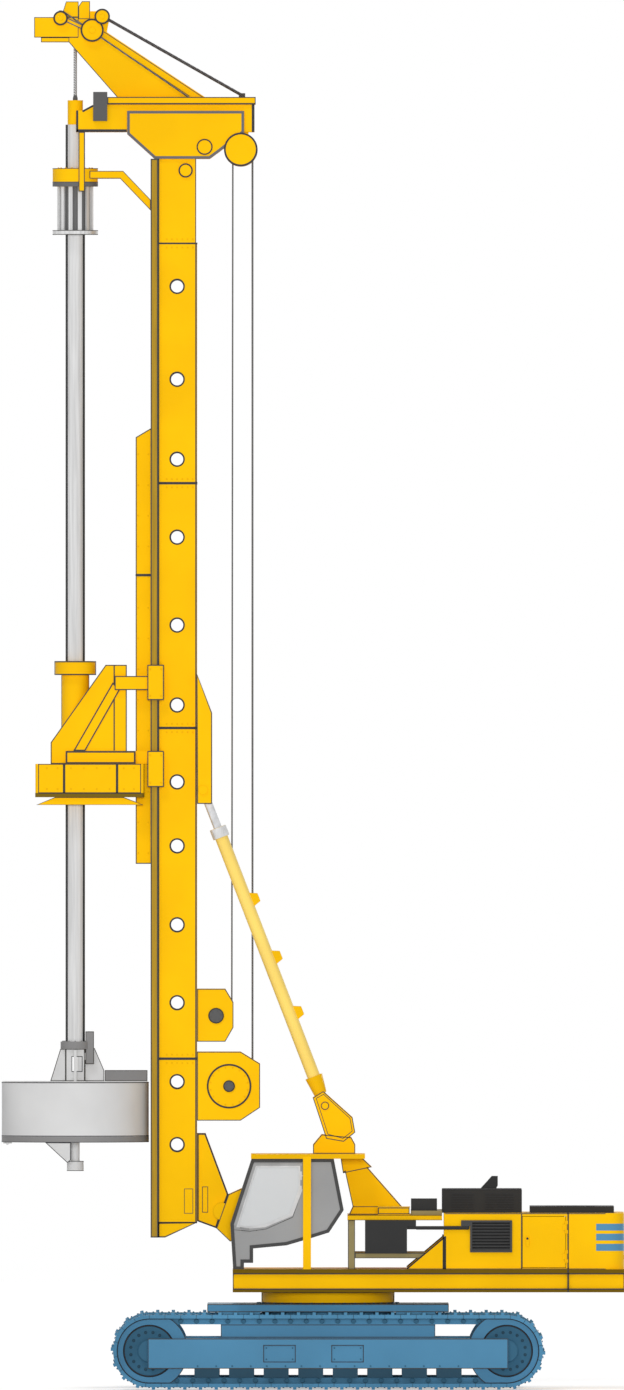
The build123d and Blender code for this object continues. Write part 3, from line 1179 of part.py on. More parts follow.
MOUTH_X = (-30, 290)
MOUTH_Y = (-870, -200)
TOOTH_COUNT = 5
TOOTH_WIDTH = 50
TOOTH_OUTLINE = ((-419, 0), (-60, 0), (-60, -250), (-109, -286))
PILOT_RADII = (61, 117)
PILOT_Z = (3185, 3045)


def bucket_floor():
    """The hinged floor with its mouth, cutting teeth and pilot."""
    disc = upright(KELLY_X, 0, TOOL_RADIUS, (BUCKET_BOTTOM, BUCKET_FLOOR_TOP - FLOOR_SEAT))
    disc &= block((KELLY_X - FLOOR_HINGE_OFFSET + FLOOR_GAP, KELLY_X + 1100), (-1100, 1100),
                  (BUCKET_BOTTOM, BUCKET_FLOOR_TOP))
    disc -= block((KELLY_X + MOUTH_X[0], KELLY_X + MOUTH_X[1]), MOUTH_Y, (BUCKET_BOTTOM, BUCKET_FLOOR_TOP))
    tooth = [(KELLY_X + x, BUCKET_BOTTOM + z) for x, z in TOOTH_OUTLINE]
    for index in range(TOOTH_COUNT):
        y = MOUTH_Y[0] + (index + 0.5) * (MOUTH_Y[1] - MOUTH_Y[0]) / TOOTH_COUNT
        disc += side_plate(tooth, (y - TOOTH_WIDTH / 2, y + TOOTH_WIDTH / 2))
    for y in ((-300, -150), (150, 300)):
        disc += floor_knuckle(y, 1)
    disc += upright(KELLY_X, 0, PILOT_RADII[0], (PILOT_Z[0], BUCKET_BOTTOM))
    disc += upright(KELLY_X, 0, PILOT_RADII[1], (PILOT_Z[1], PILOT_Z[0]))
    disc += side_plate(tooth, (-TOOTH_WIDTH / 2, TOOTH_WIDTH / 2))
    return disc


def main():
    """Every node of the machine."""
    os.makedirs("parts", exist_ok=True)
    write("tracks", *on_both_sides(track()))
    write("track_wheels", *on_both_sides(wheel(WHEEL_X)), *on_both_sides(wheel(-WHEEL_X)))
    rollers = []
    for index in range(ROLLER_COUNT):
        rollers += on_both_sides(track_roller((index - (ROLLER_COUNT - 1) / 2) * ROLLER_PITCH))
    write("track_rollers", *rollers)
    write("track_frames", *on_both_sides(track_frame()), *on_both_sides(slide_beam()))
    write("carbody", carbody())
    write("slew_ring", slew_ring())
    write("upper_frame", upper_frame())
    write("counterweight", counterweight())
    write("house_shell", house_shell())
    door = house_door()
    write("house_door_left", door)
    write("house_door_right", mirror(door, about=Plane.XZ))
    write("side_grilles", *on_both_sides(grille()))
    write("engine_block", block(ENGINE_X, ENGINE_Y, (UPPER_TOP, ENGINE_TOP)))
    write("exhaust_box", exhaust_box())
    write("roof_cooler", roof_cooler())
    write("platform", platform())
    write("platform_supports", *platform_supports())
    write("valve_block", valve_block(), control_box())
    write("gantry", gantry())
    write("stay_foot_brackets", *on_both_sides(stay_bracket()))
    write("stay_barrels", *on_both_sides(stay_barrel(STAY_Y)))
    write("stay_rods", *on_both_sides(stay_rod(STAY_Y)))
    write("mast_foot_arms", foot_arms())
    write("cab_shell", cab_shell())
    write("cab_windows", *cab_windows())
    write("cab_door", cab_door())
    write("cab_door_glass", cab_door_glass())
    write("cab_interior", operator_seat(), control_console())
    write("mast_lengths", *mast_lengths())
    write("guide_rails", *guide_rails())
    write("mast_brackets", foot_bracket(), stay_head_bracket())
    write("crowd_casing", *crowd_casing())
    write("winch_housings", *[winch_housing(row) for row in WINCHES])
    for row in WINCHES:
        write(row[0] + "_winch_drum", winch_drum(row))
    write("mast_head", mast_head())
    write("head_boxes", *on_both_sides(head_box()))
    write("jib", jib())
    write("pendant_stays", *pendant_stays())
    for row in SHEAVES:
        write(row[0], sheave(row))
    write("kelly_guide", kelly_guide())
    write("kelly_guide_cage", kelly_guide_cage())
    write("sledge_frame", sledge_frame())
    write("rotary_drive", rotary_drive())
    write("swivel", swivel())
    write("kelly_bar", kelly_bar())
    write("tool_head", tool_head())
    write("tool_lever", *tool_lever())
    write("bucket_body", bucket_body())
    write("bucket_floor", bucket_floor())


main()
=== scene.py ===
import math

import bmesh
import bpy
from mathutils import Matrix, Vector


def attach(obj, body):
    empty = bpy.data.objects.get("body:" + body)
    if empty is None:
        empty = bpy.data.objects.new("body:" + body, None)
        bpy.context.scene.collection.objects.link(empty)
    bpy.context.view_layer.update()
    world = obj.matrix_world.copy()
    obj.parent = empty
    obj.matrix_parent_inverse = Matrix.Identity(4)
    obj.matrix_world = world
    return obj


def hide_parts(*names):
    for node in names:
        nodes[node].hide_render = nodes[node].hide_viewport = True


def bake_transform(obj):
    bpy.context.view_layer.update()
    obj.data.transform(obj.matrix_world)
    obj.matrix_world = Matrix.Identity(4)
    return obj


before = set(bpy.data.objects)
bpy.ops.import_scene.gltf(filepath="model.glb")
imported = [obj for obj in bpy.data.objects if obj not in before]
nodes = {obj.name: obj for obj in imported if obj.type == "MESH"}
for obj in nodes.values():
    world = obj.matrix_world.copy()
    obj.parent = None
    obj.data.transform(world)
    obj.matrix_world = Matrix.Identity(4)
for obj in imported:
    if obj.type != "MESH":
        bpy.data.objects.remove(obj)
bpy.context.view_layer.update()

MM = 0.001

# The photograph's scale: millimetres on the machine for one of its pixels.
PHOTO_SCALE = 14.0
PHOTO_WIDTH = 624
PHOTO_HEIGHT = 1390
PHOTO_SLEW_AXIS = 328
PHOTO_GROUND = 1389


# Building blocks of the materials

def feed(node, inputs):
    """Sets a node's inputs by name or number, each to another node's output or to a plain value."""
    for name, value in inputs.items():
        if isinstance(value, bpy.types.NodeSocket):
            node.id_data.links.new(value, node.inputs[name])
        else:
            node.inputs[name].default_value = value
    return node


def add_node(tree, kind, inputs):
    """A new node of a kind, with its inputs set."""
    return feed(tree.nodes.new("ShaderNode" + kind), inputs)


def combined(tree, operation, first, last):
    """One value from two, such as their product or the larger of them."""
    node = tree.nodes.new("ShaderNodeMath")
    node.operation = operation
    return feed(node, {0: first, 1: last}).outputs[0]


def shown_directly(tree, plain, seen):
    """A plain shader, with another in its place for the camera, in reflections and through glass."""
    path = tree.nodes.new("ShaderNodeLightPath").outputs
    direct = combined(tree, "MAXIMUM", path["Is Camera Ray"], path["Is Glossy Ray"])
    direct = combined(tree, "MAXIMUM", direct, path["Is Transmission Ray"])
    return add_node(tree, "MixShader", {0: direct, 1: plain.outputs[0], 2: seen.outputs[0]}).outputs[0]


def own_place(tree):
    """The object's own coordinates."""
    return tree.nodes.new("ShaderNodeTexCoord").outputs["Object"]


def noise(tree, scale, detail, stretch=(1, 1, 1)):
    """Noise over the object's own coordinates."""
    mapping = add_node(tree, "Mapping", {"Vector": own_place(tree), "Scale": stretch})
    texture = {"Vector": mapping.outputs[0], "Scale": scale, "Detail": detail}
    return add_node(tree, "TexNoise", texture).outputs["Fac"]


def ramp(tree, value, low, high, first, last):
    """Maps a value onto two colours, or onto two plain numbers."""
    node = add_node(tree, "ValToRGB", {"Fac": value})
    for stop, position, colour in zip(node.color_ramp.elements, (low, high), (first, last)):
        stop.position = position
        stop.color = colour if isinstance(colour, tuple) else (colour, colour, colour, 1)
    return node.outputs["Color"]


def mixed(tree, factor, first, last):
    """A colour between two, by a factor. Either colour is an output or a plain colour."""
    node = tree.nodes.new("ShaderNodeMix")
    node.data_type = "RGBA"
    return feed(node, {0: factor, 6: first, 7: last}).outputs[2]


def corner_shade(tree, distance, high):
    """A mask for painted shade: one in corners and seams, nought on open faces."""
    node = add_node(tree, "AmbientOcclusion", {"Distance": distance})
    node.samples = 4
    return ramp(tree, node.outputs["AO"], 0.25, high, 1, 0)


def bump(tree, height, strength, distance):
    values = {"Height": height, "Strength": strength, "Distance": distance}
    return add_node(tree, "Bump", values).outputs["Normal"]


# Camera and light

def add_object(name, data):
    """A new object in the scene."""
    piece = bpy.data.objects.new(name, data)
    bpy.context.scene.collection.objects.link(piece)
    return piece


def set_camera():
    """A very long lens on the cab side, square to the machine, as in the side elevation.

    The sensor's height sets the frame. Its width only sets how far off a camera stands that is
    moved to another side.
    """
    near_side = -1.0
    data = bpy.data.cameras.new("camera")
    data.sensor_fit = "VERTICAL"
    data.sensor_height = 36.0
    data.sensor_width = 72.0
    data.lens = 1540.0
    data.clip_start = 10.0
    data.clip_end = 2000.0
    distance = data.lens / data.sensor_height * PHOTO_HEIGHT * PHOTO_SCALE * MM
    camera = add_object("camera", data)
    camera.location = ((PHOTO_WIDTH / 2 - PHOTO_SLEW_AXIS) * PHOTO_SCALE * MM, near_side - distance,
                       (PHOTO_GROUND - PHOTO_HEIGHT / 2) * PHOTO_SCALE * MM)
    camera.rotation_euler = (math.radians(90), 0, 0)
    bpy.context.scene.camera = camera


def lamp(name, strength, turn, angle, gloss=True):
    """A soft sun lamp, which may be left out of reflections."""
    data = bpy.data.lights.new(name, "SUN")
    data.energy = strength
    data.angle = math.radians(angle)
    sun = add_object(name, data)
    sun.rotation_euler = [math.radians(value) for value in turn]
    sun.visible_glossy = gloss


def set_world(fill):
    """White for the camera and for reflections, and a plain grey fill for the object."""
    world = bpy.data.worlds.new("world")
    world.use_nodes = True
    tree = world.node_tree
    tree.nodes.clear()
    seen = add_node(tree, "Background", {"Color": (1, 1, 1, 1)})
    light = add_node(tree, "Background", {"Color": (fill, fill, fill, 1)})
    add_node(tree, "OutputWorld", {"Surface": shown_directly(tree, light, seen)})
    bpy.context.scene.world = world


# Colours and materials

MATERIALS = {}


def linear(rgb, factor=1):
    """An 8-bit screen colour, or one value for a grey, times a factor, as scene-linear values."""
    found = []
    for value in [rgb] * 3 if isinstance(rgb, int) else rgb:
        share = min(255, value * factor) / 255
        found.append(share / 12.92 if share <= 0.04045 else ((share + 0.055) / 1.055) ** 2.4)
    return (*found, 1.0)


def new_material(name):
    material = bpy.data.materials.new(name)
    material.use_nodes = True
    MATERIALS[name] = material
    return material.node_tree, material.node_tree.nodes["Principled BSDF"]


def paint(name, rgb, rough=0.5, coat=0.03, shade_amount=0.5, shade_rgb=(80, 60, 14), reach=0.07, spread=0.035):
    """Sprayed machine paint: faint clouds in the tone, painted shade in corners and seams in patchy strength,
    orange-peel bump.
    """
    tree, shader = new_material(name)
    darker, lighter = linear(rgb, 1 - spread), linear(rgb, 1 + spread / 3)
    clouds = ramp(tree, noise(tree, 0.9, 3.0), 0.35, 0.65, darker, lighter)
    # Painted shade: corners and seams darken towards the given dark colour, in patchy strength.
    patch = ramp(tree, noise(tree, 5.0, 6.0), 0.3, 0.7, shade_amount * 0.6, shade_amount)
    painted_shade = combined(tree, "MULTIPLY", corner_shade(tree, reach, 0.72), patch)
    feed(shader, {
        "Base Color": mixed(tree, painted_shade, clouds, linear(shade_rgb)),
        "Roughness": ramp(tree, noise(tree, 3.0, 5.0), 0.3, 0.7, rough * 0.85, rough * 1.2),
        "Normal": bump(tree, noise(tree, 45.0, 2.0), 0.15, 0.002),
        "Coat Weight": coat, "Coat Roughness": 0.15, "Specular IOR Level": 0.08})
    return tree, shader


def metal(name, rgb, rough, metallic, brushed=(1, 1, 1), scale=20.0, shade_amount=0.4):
    """Bare or worn metal with streaks along one direction."""
    tree, shader = new_material(name)
    streak = noise(tree, scale, 5.0, brushed)
    tone = ramp(tree, streak, 0.3, 0.7, linear(rgb, 0.9), linear(rgb, 1.04))
    # Painted shade: corners and seams darken towards a dark grey.
    painted_shade = combined(tree, "MULTIPLY", corner_shade(tree, 0.08, 0.7), shade_amount)
    feed(shader, {
        "Base Color": mixed(tree, painted_shade, tone, linear((40, 38, 36))),
        "Roughness": ramp(tree, streak, 0.25, 0.75, rough * 0.8, rough * 1.25),
        "Normal": bump(tree, streak, 0.1, 0.002), "Metallic": metallic})


def rope_steel(name, rgb):
    """Steel rope: slanting strands along the run."""
    tree, shader = new_material(name)
    wave = add_node(tree, "TexWave", {"Vector": own_place(tree), "Scale": 18.0, "Distortion": 0.6})
    wave.bands_direction = "DIAGONAL"
    strands = wave.outputs["Fac"]
    feed(shader, {
        "Base Color": ramp(tree, strands, 0.2, 0.8, linear(rgb, 0.6), linear(rgb)),
        "Normal": bump(tree, strands, 0.5, 0.004), "Roughness": 0.5, "Metallic": 0.5})


def glass(name, rgb):
    """Lightly tinted cab glass, with faint smears in its gloss."""
    tree, shader = new_material(name)
    smears = ramp(tree, noise(tree, 2.5, 6.0), 0.35, 0.7, 0.05, 0.18)
    feed(shader, {"Base Color": linear(rgb), "Roughness": smears, "IOR": 1.45, "Alpha": 0.72})


def fabric(name, rgb):
    """Woven seat cloth."""
    tree, shader = new_material(name)
    weave = add_node(tree, "TexChecker", {"Vector": own_place(tree), "Scale": 220.0})
    feed(shader, {
        "Base Color": ramp(tree, noise(tree, 60.0, 5.0), 0.3, 0.7, linear(rgb, 0.8), linear(rgb)),
        "Normal": bump(tree, weave.outputs["Fac"], 0.4, 0.001), "Roughness": 0.92, "Sheen Weight": 0.3})


def plastic(name, rgb, rough=0.6, scale=60.0):
    """Moulded plastic or rubber with a fine grain."""
    tree, shader = new_material(name)
    grain = noise(tree, scale, 3.0)
    feed(shader, {
        "Base Color": ramp(tree, noise(tree, 4.0, 4.0), 0.3, 0.7, linear(rgb, 0.88), linear(rgb)),
        "Roughness": ramp(tree, grain, 0.3, 0.7, rough * 0.85, rough * 1.1),
        "Normal": bump(tree, grain, 0.25, 0.001)})


def tread_plate(name, rgb):
    """Painted walkway plate with a raised diagonal pattern."""
    tree, shader = paint(name, rgb, shade_amount=0.4)
    waves = []
    for direction in ("X", "Y"):
        turned = add_node(tree, "Mapping", {"Vector": own_place(tree), "Rotation": (0, 0, math.radians(45))})
        wave = add_node(tree, "TexWave", {"Vector": turned.outputs[0], "Scale": 8.0})
        wave.bands_direction = direction
        waves.append(wave.outputs["Fac"])
    feed(shader, {"Normal": bump(tree, combined(tree, "MULTIPLY", *waves), 0.6, 0.006)})


BLUE = (83, 141, 177)
YELLOW = (255, 195, 8)
AMBER = (237, 181, 8)
# The dark colour of the painted shade in the corners and seams of the darker paints.
DARK_SHADE = (50, 38, 8)
paint("track blue", BLUE, 0.5, 0.1, 0.65, (38, 52, 60), 0.16, 0.08)
paint("frame blue", BLUE, 0.42, 0.2, 0.5, (34, 52, 64))
paint("wheel blue", (60, 106, 133), 0.5, 0.1, 0.6, (26, 40, 48))
paint("bracket blue", (47, 77, 95), 0.5, 0.1, 0.6, (20, 30, 36))
paint("stripe blue", BLUE, 0.35, 0.3, 0.3, (40, 60, 70))
paint("yellow", YELLOW)
paint("ring yellow", YELLOW, shade_amount=0.0)
paint("guard amber", AMBER, shade_amount=0.0)
tread_plate("amber", AMBER)
paint("dark amber", (240, 185, 10), 0.45, shade_amount=0.2)
# Dark olive: painted shade for the flange faces of the upper frame.
paint("flange shade", (112, 87, 9), shade_amount=0.3, shade_rgb=DARK_SHADE)
paint("band", (117, 94, 21), 0.5, 0.1, 0.5, DARK_SHADE)
paint("khaki", (148, 135, 94), 0.55, 0.05, 0.5, (60, 54, 36))
paint("pale yellow", (255, 219, 110), 0.35, 0.4, 0.4, (120, 90, 30))
paint("black steel", 56, 0.6, 0.0, 0.5, 18)
paint("grille black", 74, 0.6, 0.0, 0.2, 40)
paint("cab grey", 156, 0.45, 0.2, 0.4, 60)
paint("tool grey", 217, 0.5, 0.05, 0.4, (150, 148, 144))
paint("dark tool", (139, 138, 138), 0.5, 0.05, 0.4, 80)
paint("hub dark", 93, 0.5, 0.1, 0.5, 20)
paint("border grey", (108, 108, 112), shade_amount=0.2, shade_rgb=60)
paint("band grey", 104, 0.5, 0.1, 0.2, 40)
# A grey lighter than the cab grey: painted light for the door frame's band, which lies in shade.
plastic("door band painted light", 166, 0.5)
plastic("window edge", 214, 0.5)
plastic("seam", (66, 64, 60))
plastic("track seam", (46, 84, 108))
plastic("outline", (44, 44, 48))
plastic("rib black", 16)
plastic("gasket", 67, 0.7, 160.0)
plastic("trim", (52, 52, 54), 0.55, 160.0)
plastic("screen", (24, 30, 34), 0.15, 20.0)
plastic("tail lamp", (160, 24, 18), 0.2, 30.0)
metal("rail", (175, 138, 23), 0.4, 0.25, (1, 1, 0.04), 30.0)
metal("bright steel", 222, 0.3, 0.35, (1, 1, 0.03), 24.0, 0.25)
metal("kelly steel", 217, 0.45, 0.2, (1, 1, 0.03), 24.0, 0.15)
metal("chrome", (216, 217, 219), 0.2, 0.4, scale=10.0, shade_amount=0.2)
metal("drum steel", 110, 0.5, 0.5, scale=14.0)
rope_steel("rope", 125)
rope_steel("light rope", 205)
rope_steel("stay cable", (92, 88, 88))
fabric("seat cloth", (70, 70, 74))
glass("glass", (228, 230, 231))

NODE_MATERIALS = {
    "yellow": "upper_frame house_shell house_door_left house_door_right counterweight gantry "
              "stay_foot_brackets mast_foot_arms mast_lengths mast_brackets crowd_casing winch_housings "
              "mast_head jib kelly_guide sledge_frame rotary_drive swivel rear_sheave auxiliary_sheave "
              "jib_sheave jib_disc jib_front_pulley jib_rear_pulley",
    "frame blue": "track_frames carbody",
    "track blue": "tracks",
    "wheel blue": "track_wheels",
    "bracket blue": "track_rollers",
    "ring yellow": "slew_ring",
    "amber": "platform",
    "khaki": "platform_supports",
    "pale yellow": "stay_barrels",
    "grille black": "side_grilles",
    "black steel": "exhaust_box roof_cooler valve_block engine_block",
    "hub dark": "head_boxes",
    "stay cable": "pendant_stays",
    "drum steel": "main_winch_drum auxiliary_winch_drum",
    "chrome": "stay_rods",
    "rail": "guide_rails",
    "cab grey": "cab_shell cab_door",
    "glass": "cab_windows cab_door_glass",
    "kelly steel": "kelly_bar",
    "bright steel": "kelly_guide_cage",
    "tool grey": "tool_head bucket_body bucket_floor",
    "dark tool": "tool_lever",
}


def dress_nodes():
    """Gives every CAD node its material."""
    for material, names in NODE_MATERIALS.items():
        for name in names.split():
            materials = nodes[name].data.materials
            materials.clear()
            materials.append(MATERIALS[material])


# Shapes in millimetres, gathered into one mesh for each piece

OUT = (0, -1, 0)
INWARD = (0, 1, 0)
UP = (0, 0, 1)
CREASE_ANGLE = math.radians(35)


def square(x, z):
    """The four corners of a rectangle between two limits each way."""
    return [(x[0], z[0]), (x[1], z[0]), (x[1], z[1]), (x[0], z[1])]


def circle(centre, axis, radius, count, shift=0.0, side=None):
    """Points evenly round an axis, starting from a side of it."""
    if side is None:
        side = axis.orthogonal().normalized()
    other = axis.cross(side)
    turns = [2 * math.pi * (index + shift) / count for index in range(count)]
    return [centre + (side * math.cos(turn) + other * math.sin(turn)) * radius for turn in turns]


class Shape:
    """A mesh that grows solid by solid."""

    def __init__(self):
        self.mesh = bmesh.new()

    def loft(self, loops, closed=False):
        """Joins rings of points into a closed skin."""
        rings = [[self.mesh.verts.new(Vector(point) * MM) for point in loop] for loop in loops]
        pairs = list(zip(rings, rings[1:]))
        if closed:
            pairs.append((rings[-1], rings[0]))
        for first, last in pairs:
            for corners in zip(first, first[1:] + first[:1], last[1:] + last[:1], last):
                self.mesh.faces.new(corners)
        if not closed:
            self.mesh.faces.new(list(reversed(rings[0])))
            self.mesh.faces.new(rings[-1])
        return self

    def box(self, x, y, z):
        return self.loft([[(a, b, level) for a, b in square(x, y)] for level in z])

    def prism(self, outline, y):
        """A plate with an outline in the side view."""
        return self.loft([[(x, side, z) for x, z in outline] for side in y])

    def lathe(self, centre, axis, profile, sides=48, closed=False):
        """A turned form: pairs of radius and distance along the axis."""
        centre, axis = Vector(centre), Vector(axis).normalized()
        loops = [circle(centre + axis * along, axis, radius, sides) for radius, along in profile]
        return self.loft(loops, closed)

    def ring(self, centre, axis, outer, inner, thickness, sides=64):
        """A flat ring with broken edges, standing on its centre point."""
        low, edge = thickness * 0.7, thickness * 0.3
        profile = [(inner, 0), (outer, 0), (outer, low), (outer - edge, thickness),
                   (inner + edge, thickness), (inner, low)]
        return self.lathe(centre, axis, profile, sides, closed=True)

    def hoop(self, centre, outer, inner, height, sides=64):
        """An upright band round a centre point, rising from it."""
        profile = [(outer, 0), (outer, height), (inner, height), (inner, 0)]
        return self.lathe(centre, UP, profile, sides, closed=True)

    def corner(self, centre, signs, section, steps):
        """A quarter turn of a section, pairs of radius and z, towards the sides that two signs tell."""
        loops = []
        for step in range(steps + 1):
            turn = math.radians(90 * step / steps)
            x, y = signs[0] * math.sin(turn), signs[1] * math.cos(turn)
            loops.append([(centre[0] + radius * x, centre[1] + radius * y, z) for radius, z in section])
        return self.loft(loops)

    def bolt(self, centre, axis, size):
        """A hexagon head on its washer."""
        washer = [(size * 0.62, 0), (size * 0.62, size * 0.12)]
        head = [(size * 0.5, size * 0.1), (size * 0.5, size * 0.42), (size * 0.42, size * 0.5)]
        self.lathe(centre, axis, washer, 12).lathe(centre, axis, head, 6)

    def bolt_circle(self, centre, axis, radius, count, size):
        for point in circle(Vector(centre), Vector(axis), radius, count, 0.5):
            self.bolt(point, axis, size)
        return self

    def tube(self, points, radius, sides=10):
        """A round tube along a line of points."""
        points = [Vector(point) for point in points]
        loops = []
        for before, point, after in zip(points[:1] + points, points, points[1:] + points[-1:]):
            way = (after - before).normalized()
            side = way.cross(Vector(INWARD))
            side = side.normalized() if side.length > 0.01 else Vector((1, 0, 0))
            loops.append(circle(point, way, radius, sides, side=side))
        return self.loft(loops)

    def outline(self, points, y, width):
        """A strip of constant width inside a closed outline of the side view, as thick as y."""
        following = points[1:] + points[:1]
        area = sum(here[0] * after[1] - after[0] * here[1] for here, after in zip(points, following))
        turn = 1 if area > 0 else -1
        inner = []
        for before, here, after in zip(points[-1:] + points, points, following):
            here = Vector(here)
            back = (here - Vector(before)).normalized()
            ahead = (Vector(after) - here).normalized()
            first = Vector((-back.y, back.x)) * turn
            last = Vector((-ahead.y, ahead.x)) * turn
            middle = (first + last).normalized()
            inner.append(here + middle * (width / max(middle.dot(first), 0.4)))
        for corners in zip(points, following, inner[1:] + inner[:1], inner):
            self.prism(corners, y)
        return self

    def strip(self, start, end, y, width):
        """A straight strip between two points of the side view, as thick as y."""
        start, end = Vector(start), Vector(end)
        side = (end - start).normalized()
        side = Vector((-side.y, side.x)) * (width / 2)
        return self.prism([start - side, end - side, end + side, start + side], y)

    def both_sides(self):
        """Adds the mirror image across the machine's middle plane."""
        copy = self.mesh.copy()
        bmesh.ops.transform(copy, matrix=Matrix.Scale(-1, 4, INWARD), verts=copy.verts)
        bmesh.ops.reverse_faces(copy, faces=copy.faces)
        data = bpy.data.meshes.new("mirrored")
        copy.to_mesh(data)
        copy.free()
        self.mesh.from_mesh(data)
        bpy.data.meshes.remove(data)
        return self

    def place(self, name, material, body, slot="dark_metal", smooth=True, rounding=0.0):
        """Makes the object, with a softened edge where one is asked for."""
        bmesh.ops.recalc_face_normals(self.mesh, faces=self.mesh.faces)
        data = bpy.data.meshes.new(name)
        self.mesh.to_mesh(data)
        self.mesh.free()
        piece = add_object(name, data)
        data.materials.append(MATERIALS[material])
        if smooth:
            data.shade_smooth()
            data.set_sharp_from_angle(angle=CREASE_ANGLE)
        if rounding:
            bevel = piece.modifiers.new("edges", "BEVEL")
            bevel.width = rounding * MM
            bevel.segments = 2
            bevel.limit_method = "ANGLE"
        if body:
            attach(piece, body)
        return piece

    def place_flat(self, *values):
        return self.place(*values, smooth=False)

    def place_bolts(self, name, body):
        self.place_flat(name, "dark amber", body, "yellow_paint")


LINE_PROUD = 3
LINE_SINK = 1


def draw_lines(name, material, body, outlines=(), strips=(), mirrored=True):
    """Narrow dark edge strips on side faces, from outlines and from straight lines.

    An outline row holds its points, the face's y and a width. A strip row holds start, end,
    the face's y and a width.
    """
    lines = Shape()
    for points, face, width in outlines:
        lines.outline(points, (face - LINE_PROUD, face + LINE_SINK), width)
    for start, end, face, width in strips:
        lines.strip(start, end, (face - LINE_PROUD, face + LINE_SINK), width)
    if mirrored:
        lines.both_sides()
    lines.place_flat(name, material, body)


# Undercarriage

WHEEL_X = 2500
WHEEL_Z = 540
TRACK_Y = 1600
SHOE_RADIUS = 506
SHOE_COUNT = 60
SHOE_HALF = 351
UNDER = ("undercarriage", "dark_blue_paint")


def loop_place(share):
    """The middle, the outward and the running direction at a share of the way round the track."""
    straight = 2 * WHEEL_X
    bend = math.pi * SHOE_RADIUS
    way = share * 2 * (straight + bend)
    side, turned = 1, 0.0
    if way >= straight + bend:
        way -= straight + bend
        side, turned = -1, math.pi
    turn = max(way - straight, 0) / SHOE_RADIUS
    x = min(way, straight) - WHEEL_X + SHOE_RADIUS * math.sin(turn)
    middle = Vector((side * x, TRACK_Y, WHEEL_Z + side * SHOE_RADIUS * math.cos(turn)))
    turn += turned
    return middle, Vector((math.sin(turn), 0, math.cos(turn))), Vector((math.cos(turn), 0, -math.sin(turn)))


def make_track_details():
    """Shoe bolts, the joints between the shoes, and the pins of the chain."""
    bolts, joints, pins = Shape(), Shape(), Shape()
    section = ((-52, -SHOE_HALF), (1, -SHOE_HALF), (1, SHOE_HALF), (-52, SHOE_HALF))
    for index in range(SHOE_COUNT):
        middle, out, along = loop_place(index / SHOE_COUNT)
        joints.loft([[middle + along * shift + out * rise + Vector((0, wide, 0)) for rise, wide in section]
                     for shift in (-4, 4)])
        for side in (-1, 1):
            pin = middle - out * 92 + Vector((0, side * 98, 0))
            pins.lathe(pin, (0, side, 0), [(34, 0), (34, 14), (26, 20)], 16)
        middle, out, along = loop_place((index + 0.5) / SHOE_COUNT)
        for wide in (-150, 150):
            for shift in (-62, 62):
                bolts.bolt(middle + along * shift + Vector((0, wide, 0)), out, 24)
    bolts.both_sides().place_flat("shoe_bolts", "track blue", *UNDER)
    joints.both_sides().place_flat("shoe_joints", "track seam", *UNDER)
    pins.both_sides().place("chain_pins", "wheel blue", *UNDER)


def make_wheel_covers():
    """Wheel discs with a dark sealing ring and bolts on the outer and inner faces."""
    discs, rings, bolts = Shape(), Shape(), Shape()
    profile = [(346, 0), (346, 10), (322, 16), (300, 8), (170, 8), (150, 22), (60, 26)]
    for x in (-WHEEL_X, WHEEL_X):
        for side in (1, -1):
            centre, axis = (x, TRACK_Y + side * 88, WHEEL_Z), (0, side, 0)
            discs.lathe(centre, axis, profile, 64)
            rings.ring(centre, axis, 366, 345, 22, 72)
            bolts.bolt_circle((x, TRACK_Y + side * 96, WHEEL_Z), axis, 262, 16, 36)
    discs.both_sides().place("wheel_discs", "wheel blue", *UNDER)
    rings.both_sides().place("wheel_rings", "outline", *UNDER)
    bolts.both_sides().place_flat("wheel_bolts", "bracket blue", *UNDER)


GUARD_INNER = 368
GUARD_OUTER = 538
GUARD_LIMIT = 450
GUARD_STEPS = 96


def make_wheel_guards():
    """Side plates round the wheels inside the track loop, round towards the middle of the machine."""
    plates, rims = Shape(), Shape()
    for x, inward in ((-WHEEL_X, 1), (WHEEL_X, -1)):
        plate, rim = [], []
        for step in range(GUARD_STEPS):
            turn = 2 * math.pi * step / GUARD_STEPS
            across, up = math.cos(turn), math.sin(turn)
            reach = GUARD_LIMIT
            if across > 0:
                reach = min(GUARD_OUTER, GUARD_LIMIT / max(abs(up), 0.01))
            for loops, low, high, near, far in ((plate, GUARD_INNER, reach, 122, 134),
                                                (rim, reach - 9, reach + 1, 133, 137)):
                loops.append([(x + inward * across * radius, TRACK_Y + side, WHEEL_Z + up * radius)
                              for radius, side in square((low, high), (near, far))])
        plates.loft(plate, closed=True)
        rims.loft(rim, closed=True)
    plates.both_sides().place_flat("wheel_guards", "frame blue", *UNDER)
    rims.both_sides().place_flat("guard_rims", "outline", *UNDER)


FRAME_OUTSIDE = 1850
HATCHES = (((-896, -462), (392, 616)), ((56, 490), (392, 616)))
BOLT_INSET = 34
ROLLER_COUNT = 8
ROLLER_PITCH = 484


